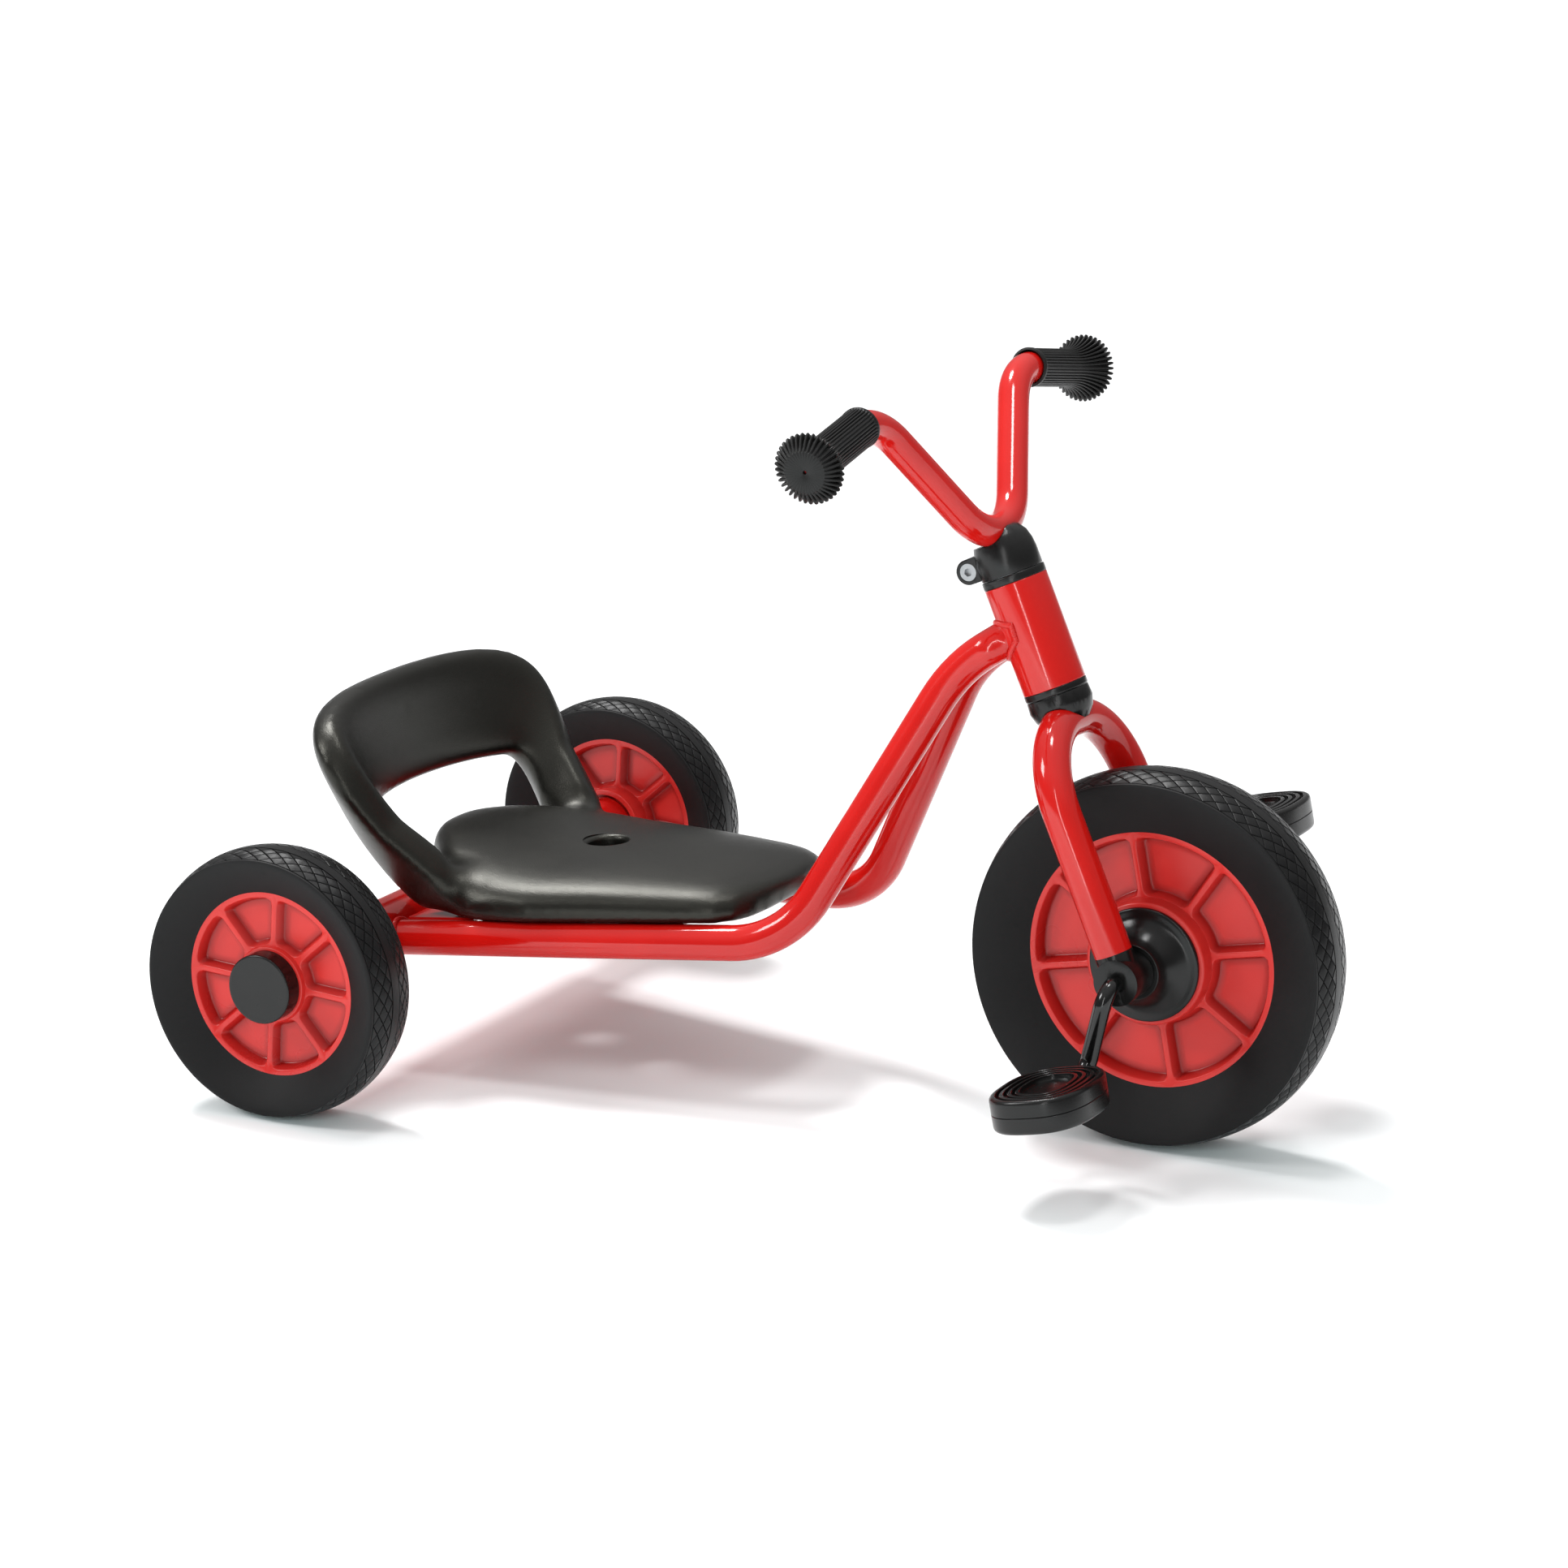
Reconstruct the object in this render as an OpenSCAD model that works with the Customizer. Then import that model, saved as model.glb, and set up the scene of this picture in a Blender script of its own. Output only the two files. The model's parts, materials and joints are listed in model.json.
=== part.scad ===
// Low rider tricycle: bent tube frame, bucket seat, pedals on the front wheel
// Millimetres; X forward, Y left, Z up; ground at zero, origin under the middle of the whole

// Which sub-part to draw, or all of them

/* [Wheels] */
// Distance between the middle planes of the rear wheels
track = 406; // [360:1:460]
// Distance from the rear axle to the front axle
wheelbase = 462.5; // [430:0.5:540]
// Outside diameter of a rear tyre
rear_d = 160; // [140:1:180]
// Width of a rear tyre
rear_w = 40; // [34:1:46]
// Outside diameter of the front tyre
front_d = 220; // [200:1:232]
// Width of the front tyre
front_w = 47; // [38:1:54]
// Height of a rear tyre side, from the rim edge to the tread
rear_side = 25.4; // [20:0.2:28]
// Height of a front tyre side, from the rim edge to the tread
front_side = 35.1; // [28:0.1:38]
// Number of ribs on each side of a rim
rib_n = 8; // [5:1:12]
// Thickness of a rim rib
rib_t = 5; // [3:0.5:8]

/* [Frame] */
// Outside diameter of the two long frame tubes
tube_d = 21.2; // [18:0.2:24]
// Wall thickness of the steel tubes
wall = 1.8; // [1.2:0.1:2.6]
// Outside diameter of the head tube and the rear cross tube
head_d = 37.4; // [34:0.2:42]
// Wall thickness of the head tube and the rear cross tube
head_wall = 2.5; // [2:0.1:3.5]
// Length of the head tube
head_len = 64; // [54:1:80]
// Lean of the steering axis back from the vertical, degrees
lean = 23.92; // [20:0.02:28]
// Height of the frame tube knee above the rear axle
knee_rise = 21; // [10:0.5:32]
// Distance of the frame tube knee from the middle plane
knee_y = 56.9; // [48:0.1:64]

/* [Fork and handlebar] */
// Outside diameter of the fork tube
fork_d = 22; // [19:0.2:25]
// Distance of a fork leg from the middle plane
fork_y = 49.5; // [47:0.5:54]
// Height of the fork bend centre line above the axle, along the steering axis
fork_rise = 144.1; // [138:0.1:160]
// Outside diameter of the handlebar tube
bar_d = 18.5; // [16:0.1:21]
// Distance of a tube end of the handlebar from the middle plane
bar_y = 185.5; // [170:0.5:210]
// Height of the handlebar bends above the front axle, along the steering axis
bar_rise = 342.7; // [326:0.1:370]
// Length of a grip
grip_len = 78; // [70:1:92]
// Number of teeth round the grip flange
tooth_n = 38; // [24:1:48]

/* [Pedals] */
// Distance from the wheel axis to a pedal pin
crank_r = 53.2; // [48:0.1:60]
// Diameter of the bent crank rod and the rear axle
rod_d = 10; // [8:0.5:12]
// Length of a pedal along its pin
pedal_len = 72.5; // [60:0.5:84]
// Width of a pedal across its pin
pedal_w = 58; // [48:1:70]
// Thickness of a pedal
pedal_t = 19.4; // [18.6:0.2:26]
// Turn of the right crank arm back from straight down, degrees
crank_turn = 12; // [-180:1:180]
// Nose-up tilt of the pedals, degrees
pedal_tilt = 12; // [-40:1:40]

/* [Seat] */
// Height of the top of the seat back above the seat plates
back_top = 122.4; // [110:0.1:150]
// Height of the upper edge of the opening in the seat back above the plates
back_open = 55.5; // [52:0.5:70]
// Wall thickness of the seat back and arms
back_t = 23; // [16:0.5:26]
// Half width of the seat pan at its widest
pan_half = 94.5; // [86:0.5:102]
// Height of the crown of the seat pan above the plates
pan_crown = 28; // [22:0.5:36]
// Diameter of the drain hole in the seat pan
drain_d = 24; // [16:0.5:34]

/* [Hidden] */
$fn = 72;
// Overrun of every cut
over = 1;
// Radial clearance of a turning fit and of a fixed fit
run_gap = 0.05;
fix_gap = 0.05;
// Space between faces that pass one another
pass_gap = 0.4;
// Small lead on edges
edge = 1.2;
// Lap of a straight tube run into a bend, and the swell of the bend over it
lap = 0.5;
swell = 0.1;

paint_red = [0.72, 0.06, 0.05];
wheel_red = [0.80, 0.12, 0.10];
black = [0.10, 0.10, 0.10];
tyre_black = [0.16, 0.16, 0.16];
steel = [0.62, 0.63, 0.65];

rear_r = rear_d / 2;
front_r = front_d / 2;
tube_r = tube_d / 2;
head_r = head_d / 2;
bore_r = head_r - head_wall;
fork_r = fork_d / 2;
bar_r = bar_d / 2;
rod_r = rod_d / 2;
x_mid = (wheelbase + front_r - rear_r) / 2;

// Steering assembly, heights measured up the steering axis from the front axle
rake = 1.6;
crown_h = 9.6;
head_z0 = fork_rise + fork_r + crown_h;
head_z1 = head_z0 + head_len;
lower_flange = 4;
upper_flange = 4.6;
bush_len = 20;
steerer_r = 12.7;
steerer_wall = 2.5;
cup_r = 18.9;
clamp_z0 = head_z1 + upper_flange + pass_gap;
clamp_r = 18.2;
clamp_h = 16.4;
bar_bottom = clamp_z0 + clamp_h + run_gap;
steerer_top = bar_bottom - edge;
bar_bend_low = 45.3;
bar_bend_high = 42;
bar_bend_y = 93.1;
bar_drop = 15.2;

// Angle of the two arms of the handlebar, found so that the low bend rests on the clamp
bar_apex = bar_bottom + bar_r;
bar_v = v_corner(bar_bend_y, bar_rise, bar_apex, bar_bend_low, 0, 0);

// Solves for the corner height of a rounded V whose lowest point is given
function v_corner(y, top, low, r, drop, i) =
    i > 40 ? low - drop :
    v_corner(y, top, low, r, r * (1 / sin(90 - atan2(top - low + drop, y)) - 1), i + 1);

// Frame tube corners, from the rear axle line
neck_up_share = 0.59;
neck_slope = 34.7;
neck_run = 50.1;
neck_y = tube_r + pass_gap;
knee_x_share = 0.5488;
tail_y_share = 0.2406;
tail_x = 10;
upper_bend = 79;
lower_bend = 61;
fork_foot = [wheelbase - rake * cos(lean), 0, front_r - rake * sin(lean)];
neck_up = head_z0 + head_len * neck_up_share;
neck_axis = fork_foot + neck_up * [-sin(lean), 0, cos(lean)];
neck_in = head_r / 2;
neck_dir = [cos(neck_slope), 0, sin(neck_slope)];
knee_x = wheelbase * knee_x_share;
knee_z = rear_r + knee_rise;
tail_y = track * tail_y_share;
rail_pitch = atan2(knee_rise, knee_x - tail_x);

// Rear wheel stack, distances outward from the wheel middle plane
tube_end = -rear_w / 2 + edge / 2;
cross_half = track / 2 + tube_end;
hub_in = tube_end - 3 * edge / 2;
boss_r = 25;
boss_bore = head_r + 3 * edge / 2;
boss_set = 3;
boss_floor = tube_end + boss_set;
bush_flange_r = 12;
bush_wall = 3;
bush_r = rod_r + bush_wall;
bush_gap = 0.35;
bush_run = 12;
bush_split = boss_floor + bush_run;
bush_flange_out = 2;
hub_face = 10;
axle_tip = 17;
nut_t = 4.4;
nut_r = 9;
cap_r = 20.5;
cap_wall = 3;
cap_set = 1;
cap_z0 = hub_face - cap_set;
cap_face = 21;
plug_len = 12;

// Front wheel stack, distances outward from the wheel middle plane
hub_half = 18;
hub_ring_r = 36;
flange_r = 33.3;
flange_t = 2.6;
spigot_r = 12;
spigot_in = 4;
neck_r = 16;
block_r = 13.3;
block_near = 12.4;
block_far = 11.1;
block_in = fork_y - block_near;
block_out = fork_y + block_far;
flange_end = block_in - pass_gap;
leg_end = 15.3;
plug_up = 30;
rod_bend = 12;
arm_y = block_out + pass_gap + rod_bend;
pedal_gap = 1;
pedal_in = arm_y + rod_bend + pedal_gap;
clip_r = 8;
clip_t = 2;
clip_set = 7;
clip_out = pedal_in + pedal_len - clip_set;
rod_end = clip_out + edge;
// Angles of the first rib, degrees
front_rib_angle = -11.6;
rear_rib_angle = 3;

// Points round an oval and round a toothed wheel
function oval(a, b, n, e) = [for (i = [0 : n - 1]) let (t = 360 * i / n)
    [a * sign(cos(t)) * pow(abs(cos(t)), 2 / e), b * sign(sin(t)) * pow(abs(sin(t)), 2 / e)]];
function star(r_out, r_in, n) = [for (i = [0 : 2 * n - 1]) let (r = i % 2 == 0 ? r_out : r_in)
    r * [cos(180 * i / n), sin(180 * i / n)]];
function unit(v) = v / norm(v);
function turn_between(a, b) = acos(max(-1, min(1, a * b)));
function trim_at(p, r, i) = i <= 0 || i >= len(p) - 1 ? 0 :
    r[i] * tan(turn_between(unit(p[i] - p[i - 1]), unit(p[i + 1] - p[i])) / 2);
function side_vector(d) = unit(abs(d[1]) < abs(d[2]) ? cross([0, 1, 0], d) : cross([0, 0, 1], d));
function ease(x) = let (c = max(0, min(1, x))) c * c * (3 - 2 * c);

module placed() translate([-x_mid, 0, 0]) children();
module at_frame(c, ex, ey, ez)
    multmatrix([
        [ex[0], ey[0], ez[0], c[0]],
        [ex[1], ey[1], ez[1], c[1]],
        [ex[2], ey[2], ez[2], c[2]],
        [0, 0, 0, 1]]) children();
module aimed(c, d) at_frame(c, side_vector(d), cross(d, side_vector(d)), d) children();
module steering() placed() translate(fork_foot) rotate([0, -lean, 0]) children();
module front_wheel_at() placed() translate([wheelbase, 0, front_r]) children();
module outward(side) rotate([-90 * side, 0, 0]) children();
module rear_wheel_at(side) placed() translate([0, side * track / 2, rear_r]) outward(side) children();
module on_rails() placed() translate([tail_x, 0, rear_r]) rotate([0, -rail_pitch, 0]) children();

module ring(outer, inner) {
    difference() {
        circle(outer);
        if (inner > 0) circle(inner);
    }
}

// A tube or rod along straight runs joined by round bends; each run laps a little into a bend
module tube_path(p, r, outer, inner) {
    for (i = [0 : len(p) - 2]) {
        d = unit(p[i + 1] - p[i]);
        from = i == 0 ? 0 : trim_at(p, r, i) - lap;
        to = i == len(p) - 2 ? 0 : trim_at(p, r, i + 1) - lap;
        aimed(p[i] + d * from, d) linear_extrude(norm(p[i + 1] - p[i]) - from - to) ring(outer, inner);
    }
    for (i = [1 : len(p) - 2]) {
        a = unit(p[i] - p[i - 1]);
        b = unit(p[i + 1] - p[i]);
        n = unit(b - a * (a * b));
        at_frame(p[i] - a * trim_at(p, r, i) + n * r[i], -n, a, cross(-n, a))
            rotate_extrude(angle = turn_between(a, b)) translate([r[i], 0])
                ring(outer + swell, inner > 0 ? inner - swell : 0);
    }
}

// A closed skin through rings of points
module loft(rings) {
    n = len(rings);
    m = len(rings[0]);
    polyhedron(
        points = [for (q = rings) each q],
        faces = concat(
            [[for (j = [0 : m - 1]) j]],
            [[for (j = [m - 1 : -1 : 0]) (n - 1) * m + j]],
            [for (i = [0 : n - 2], j = [0 : m - 1]) let (k = (j + 1) % m)
                each [[i * m + j, (i + 1) * m + j, i * m + k],
                    [i * m + k, (i + 1) * m + j, (i + 1) * m + k]]]));
}

// Frame

function rail_points(side) = [
    neck_axis + [0, side * neck_y, 0] - neck_in * neck_dir,
    neck_axis + [0, side * neck_y, 0] - neck_run * neck_dir,
    [knee_x, side * knee_y, knee_z],
    [0, side * tail_y + side * (tail_y - knee_y) * tail_x / (knee_x - tail_x),
        rear_r - knee_rise * tail_x / (knee_x - tail_x)]];

module frame_tube(side) color(paint_red) difference() {
    placed() tube_path(rail_points(side), [0, upper_bend, lower_bend, 0], tube_r, tube_r - wall);
    steering() translate([0, 0, head_z0 - head_len]) cylinder(h = 3 * head_len, r = head_r + fix_gap);
    placed() translate([0, 0, rear_r]) rotate([90, 0, 0])
        cylinder(h = track, r = head_r + fix_gap, center = true);
}
module frame_tube_right() frame_tube(-1);
module frame_tube_left() frame_tube(1);

module head_tube() color(paint_red) steering() translate([0, 0, head_z0])
    linear_extrude(head_len) ring(head_r, bore_r);

module rear_cross_tube() color(paint_red) placed() translate([0, -cross_half, rear_r]) rotate([-90, 0, 0])
    linear_extrude(2 * cross_half) ring(head_r, bore_r);

plate_t = 2.5;
plate_top = tube_r + fix_gap;
plate_z = plate_top - plate_t;
rear_plate = [19, 60];
front_plate_set = [103.8, 63.8];
front_plate = [knee_x - front_plate_set[0], knee_x - front_plate_set[1]];
splay = atan2(tail_y - knee_y, knee_x - tail_x);
plate_in = sqrt(pow(tube_r, 2) - pow(plate_z, 2)) / cos(splay) + 2 * fix_gap;
bolt_r = 2.5;
bolt_len = 13;
bolt_head_r = 5.5;
bolt_head_t = 3.6;
rear_bolt = [50, 55];
front_bolt_set = 83.8;
front_bolt = [knee_x - front_bolt_set, 42];
bolt_at = [for (q = [rear_bolt, front_bolt], s = [-1, 1]) [q[0] - tail_x, s * q[1]]];

// Distances from the middle plane at a station: of a rail, and of the edge of a plate between the rails
function rail_y(x) = tail_y - (tail_y - knee_y) * (x - tail_x) / (knee_x - tail_x);
function plate_y(x) = rail_y(x) - plate_in;

module seat_plate(span) color(paint_red) on_rails() difference() {
    translate([0, 0, plate_z]) linear_extrude(plate_t) polygon([
        [span[0] - tail_x, -plate_y(span[0])], [span[1] - tail_x, -plate_y(span[1])],
        [span[1] - tail_x, plate_y(span[1])], [span[0] - tail_x, plate_y(span[0])]]);
    for (q = bolt_at) translate([q[0], q[1], plate_z - over])
        cylinder(h = plate_t + 2 * over, r = bolt_r + fix_gap);
}
module seat_plate_rear() seat_plate(rear_plate);
module seat_plate_front() seat_plate(front_plate);

module seat_bolts() color(steel) on_rails() for (q = bolt_at) translate([q[0], q[1], plate_z]) {
    translate([0, 0, -bolt_head_t]) cylinder(h = bolt_head_t, r = bolt_head_r);
    cylinder(h = bolt_len, r = bolt_r);
}

// Seat pan stations: shares of its length, of its half width, and of its crown above and below
pan_rear = -2;
pan_set = 18.8;
pan_front = knee_x - pan_set;
pan_drop = 2.5;
pan_x_shares = [0, 0.0084, 0.0253, 0.0464, 0.0717, 0.1013, 0.1308, 0.1646, 0.2025, 0.2447, 0.3038,
    0.3671, 0.4304, 0.5359, 0.6414, 0.7468, 0.8523, 0.903, 0.9451, 0.9747, 0.9916, 1];
pan_w_shares = [0.127, 0.233, 0.339, 0.423, 0.508, 0.614, 0.72, 0.825, 0.92, 0.984, 1,
    0.99, 0.974, 0.915, 0.857, 0.8, 0.741, 0.7, 0.615, 0.49, 0.32, 0.12];
pan_top_shares = [1.2, 1.3, 1.37, 1.4, 1.41, 1.4, 1.37, 1.33, 1.28, 1.21, 1.13,
    1.06, 1, 0.97, 0.93, 0.87, 0.79, 0.73, 0.66, 0.58, 0.5, 0.42];
pan_low_shares = [0.95, 0.85, 0.75, 0.68, 0.6, 0.5, 0.36, 0.2, 0, 0, 0,
    0, 0, 0, 0, 0, 0, 0, 0, 0.05, 0.12, 0.22];
pan_edge_share = 0.25;
pan_round_share = 0.453;
pan_crown_power = 2.2;
pan_arc_n = 14;
pan_foot_shares = [0.985, 0.94];

function pan_ring(i) = let (
    x = pan_rear + (pan_front - pan_rear) * pan_x_shares[i] - tail_x,
    w = pan_half * pan_w_shares[i],
    low = pan_crown * pan_low_shares[i] - pan_drop,
    top = pan_crown * pan_top_shares[i],
    mid = low + (top - low) * pan_edge_share)
    concat(
        [for (k = [0 : pan_arc_n]) let (u = cos(180 * k / pan_arc_n))
            [x, w * u, mid + (top - mid) * pow(max(0, 1 - pow(abs(u), pan_crown_power)), pan_round_share)]],
        [[x, -w * pan_foot_shares[0], (mid + low) / 2], [x, -w * pan_foot_shares[1], low],
            [x, w * pan_foot_shares[1], low], [x, w * pan_foot_shares[0], (mid + low) / 2]]);

// Seat back: a leaning horseshoe wall whose rim falls to the pan at both ends
back_ref = 16.85;
back_half = 81.8;
back_flare_share = 0.59;
back_x = -26.9;
back_lean_share = 0.217;
back_round = 53.1;
back_power = 1.99;
back_corner_share = 0.749;
back_rim_shares = [0.013, 3.6, 1.95];
back_sill_shares = [0.43, 0.745];
arm_x = 74;
arm_top = 11;
arm_low = 4;
arm_min = 8;
back_n = 44;
back_m = 16;
back_section_power = 4;

function back_point(t, z) = let (
    a = abs(t),
    ph = 90 * min(1, a / back_corner_share),
    w = back_half + back_flare_share * (z - back_ref),
    xr = back_x - back_lean_share * (z - back_ref),
    f = max(0, a - back_corner_share) / (1 - back_corner_share),
    x = xr + back_round * (1 - pow(max(0, cos(ph)), 2 / back_power)))
    [x + f * (arm_x - xr - back_round), sign(t) * w * pow(sin(ph), 2 / back_power), z];
function back_z1(t) = let (a = max(0, (abs(t) - back_rim_shares[0]) / (1 - back_rim_shares[0])))
    arm_top + (back_top - arm_top) * pow(max(0, 1 - pow(a, back_rim_shares[1])), back_rim_shares[2]);
function back_z0(t) = min(back_z1(t) - arm_min, back_open - (back_open - arm_low)
    * ease((abs(t) - back_sill_shares[0]) / (back_sill_shares[1] - back_sill_shares[0])));
function back_mid(t) = (back_point(t, back_z0(t)) + back_point(t, back_z1(t))) / 2;
function back_ring(i) = let (
    t = 2 * i / back_n - 1,
    dt = 1 / back_n,
    span = back_point(t, back_z1(t)) - back_point(t, back_z0(t)),
    up = unit(span),
    run = unit(back_mid(min(1, t + dt)) - back_mid(max(-1, t - dt))),
    out = unit(cross(up, run)))
    [for (q = oval(back_t / 2, norm(span) / 2, back_m, back_section_power))
        back_mid(t) + q[0] * out + q[1] * up];

drain_share = 0.4472;
drain_x = pan_rear + (pan_front - pan_rear) * drain_share;
module seat() color(black) difference() {
    union() {
        on_rails() translate([0, 0, plate_top + pan_drop])
            loft([for (i = [0 : len(pan_x_shares) - 1]) pan_ring(i)]);
        placed() translate([0, 0, rear_r + plate_top + pan_drop]) loft([for (i = [0 : back_n]) back_ring(i)]);
    }
    on_rails() translate([-track, -track / 2, plate_top - back_top]) cube([2 * track, track, back_top]);
    placed() translate([drain_x, 0, rear_r]) cylinder(h = back_top, r = drain_d / 2);
    on_rails() for (q = bolt_at) translate([q[0], q[1], plate_top - over])
        cylinder(h = bolt_len - plate_t + over + fix_gap, r = bolt_r + fix_gap);
}

// Steering bearings: flanged bushes pressed into the head tube
module upper_bearing() color(black) steering() difference() {
    union() {
        translate([0, 0, head_z1 - bush_len]) cylinder(h = bush_len, r = bore_r);
        translate([0, 0, head_z1]) cylinder(h = upper_flange, r = head_r);
    }
    translate([0, 0, head_z1 - bush_len - over])
        cylinder(h = bush_len + upper_flange + 2 * over, r = steerer_r + run_gap);
}
module lower_bearing() color(black) steering() difference() {
    union() {
        translate([0, 0, head_z0]) cylinder(h = bush_len, r = bore_r);
        translate([0, 0, head_z0 - lower_flange]) cylinder(h = lower_flange, r = head_r);
    }
    translate([0, 0, head_z0 - lower_flange - over])
        cylinder(h = bush_len + lower_flange + 2 * over, r = steerer_r + run_gap);
}

// Rear axle

module rear_axle() color(steel) placed() translate([0, 0, rear_r]) rotate([90, 0, 0])
    cylinder(h = track + 2 * axle_tip, r = rod_r, center = true);

module axle_plugs() color(black) for (s = [-1, 1]) rear_wheel_at(s) translate([0, 0, tube_end - plug_len])
    linear_extrude(plug_len) ring(bore_r, rod_r + fix_gap);

module axle_nuts() color(steel) for (s = [-1, 1]) rear_wheel_at(s)
    translate([0, 0, hub_face + bush_flange_out + bush_gap])
        linear_extrude(nut_t) ring(nut_r, rod_r + fix_gap);

// Fork and handlebar

fork_points = [[rake, -fork_y, leg_end], [rake, -fork_y, fork_rise],
    [rake, fork_y, fork_rise], [rake, fork_y, leg_end]];
fork_bend_share = 0.93;
fork_bends = [0, fork_y * fork_bend_share, fork_y * fork_bend_share, 0];
bar_points = [[0, -bar_y, bar_rise - bar_drop], [0, -bar_bend_y, bar_rise], [0, 0, bar_v],
    [0, bar_bend_y, bar_rise], [0, bar_y, bar_rise - bar_drop]];
bar_bends = [0, bar_bend_high, bar_bend_low, bar_bend_high, 0];

module fork_tube() color(paint_red) steering() tube_path(fork_points, fork_bends, fork_r, fork_r - wall);

module steerer_tube() color(steel) steering() difference() {
    translate([0, 0, fork_rise]) linear_extrude(steerer_top - fork_rise)
        ring(steerer_r, steerer_r - steerer_wall);
    tube_path(fork_points, fork_bends, fork_r + fix_gap, 0);
}

cup_top = head_z0 - lower_flange - pass_gap;
cup_shares = [0, 0.28, 0.62, 1];
cup_r_shares = [0.69, 0.90, 1, 0.975];
cup_z0 = fork_rise - edge;
module crown_cup() color(black) steering() difference() {
    rotate_extrude() polygon(concat([[0, cup_z0]],
        [for (i = [0 : len(cup_shares) - 1])
            [cup_r * cup_r_shares[i], cup_z0 + (cup_top - cup_z0) * cup_shares[i]]],
        [[0, cup_top]]));
    translate([0, 0, cup_z0 - over]) cylinder(h = cup_top - cup_z0 + 2 * over, r = steerer_r + fix_gap);
    tube_path(fork_points, fork_bends, fork_r + fix_gap, 0);
}

ear_r = 7.3;
ear_half = 9;
slit_half = edge;
clamp_bolt_x = -22;
clamp_bolt_z = clamp_z0 + edge + ear_r;
ear_x = clamp_bolt_x - ear_r;
clamp_bolt_r = 3;
socket_r = 5;
socket_t = 4.6;
socket_key_r = 2.5;
nut_flat_r = 5.6;
hood_up = 28;
hood_r_shares = [1, 1, 0.97, 0.88, 0.70, 0.42, 0];
hood_z_shares = [0, 0.36, 0.54, 0.74, 0.90, 0.98, 1];
heel_up = 19.5;
module handlebar_clamp() color(black) steering() difference() {
    union() {
        rotate_extrude() polygon(concat([[0, clamp_z0]], [for (i = [0 : len(hood_r_shares) - 1])
            [clamp_r * hood_r_shares[i], clamp_z0 + hood_up * hood_z_shares[i]]]));
        translate([clamp_bolt_x, -ear_half, clamp_bolt_z - ear_r])
            cube([-clamp_bolt_x, 2 * ear_half, 2 * ear_r]);
        translate([clamp_bolt_x, 0, clamp_bolt_z]) rotate([90, 0, 0])
            cylinder(h = 2 * ear_half, r = ear_r, center = true);
    }
    translate([0, 0, clamp_z0 - over]) cylinder(h = clamp_h + 2 * over, r = steerer_r + fix_gap);
    translate([0, 0, clamp_z0]) cylinder(h = hood_up + over, r = stub_r + fix_gap);
    translate([-2 * clamp_r, -clamp_r, clamp_z0 + heel_up]) cube([2 * clamp_r, 2 * clamp_r, hood_up]);
    tube_path(bar_points, bar_bends, bar_r + fix_gap, 0);
    translate([ear_x - over, -slit_half, clamp_z0 - over]) cube([-ear_x, 2 * slit_half, heel_up + 2 * over]);
    translate([clamp_bolt_x, 0, clamp_bolt_z]) rotate([90, 0, 0]) {
        cylinder(h = 2 * ear_half + 2 * over, r = clamp_bolt_r + fix_gap, center = true);
        translate([0, 0, ear_half - socket_t]) cylinder(h = socket_t + over, r = socket_r + fix_gap);
        translate([0, 0, -ear_half - over]) cylinder(h = socket_t + over, r = nut_flat_r + fix_gap);
    }
}
module clamp_bolt() color(steel) steering() translate([clamp_bolt_x, 0, clamp_bolt_z]) rotate([90, 0, 0])
    difference() {
        union() {
            translate([0, 0, -ear_half]) cylinder(h = 2 * ear_half - socket_t, r = clamp_bolt_r);
            translate([0, 0, ear_half - socket_t]) cylinder(h = socket_t, r = socket_r);
        }
        translate([0, 0, ear_half - socket_t / 2]) linear_extrude(socket_t) circle(socket_key_r, $fn = 6);
    }
module clamp_nut() color(steel) steering() translate([clamp_bolt_x, 0, clamp_bolt_z]) rotate([90, 0, 0])
    translate([0, 0, -ear_half]) linear_extrude(socket_t) difference() {
        circle(nut_flat_r, $fn = 6);
        circle(clamp_bolt_r + fix_gap);
    }

module handlebar() color(paint_red) steering() tube_path(bar_points, bar_bends, bar_r, bar_r - wall);

stub_r = steerer_r - steerer_wall - fix_gap;
stub_len = 52;
module handlebar_stub() color(steel) steering() difference() {
    translate([0, 0, bar_bottom - stub_len]) cylinder(h = stub_len + bar_r, r = stub_r);
    tube_path(bar_points, bar_bends, bar_r + fix_gap, 0);
}

grip_wall = 2;
grip_r = bar_r + grip_wall;
grip_flange_r = 19.7;
grip_face_r = 11.8;
grip_end = 2.5;
grip_ring_n = 11;
grip_ring_share = 0.5;
grip_z_shares = [0.77, 0.86, 0.90, 0.945];
grip_r_shares = [0.6, 0.76, 0.95, 0.95];
tooth_depth = 1.6;
function grip_dir(side) = unit([0, side * (bar_y - bar_bend_y), -bar_drop]);
function grip_foot(side) = [0, side * bar_y, bar_rise - bar_drop] + (grip_end - grip_len) * grip_dir(side);
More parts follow.
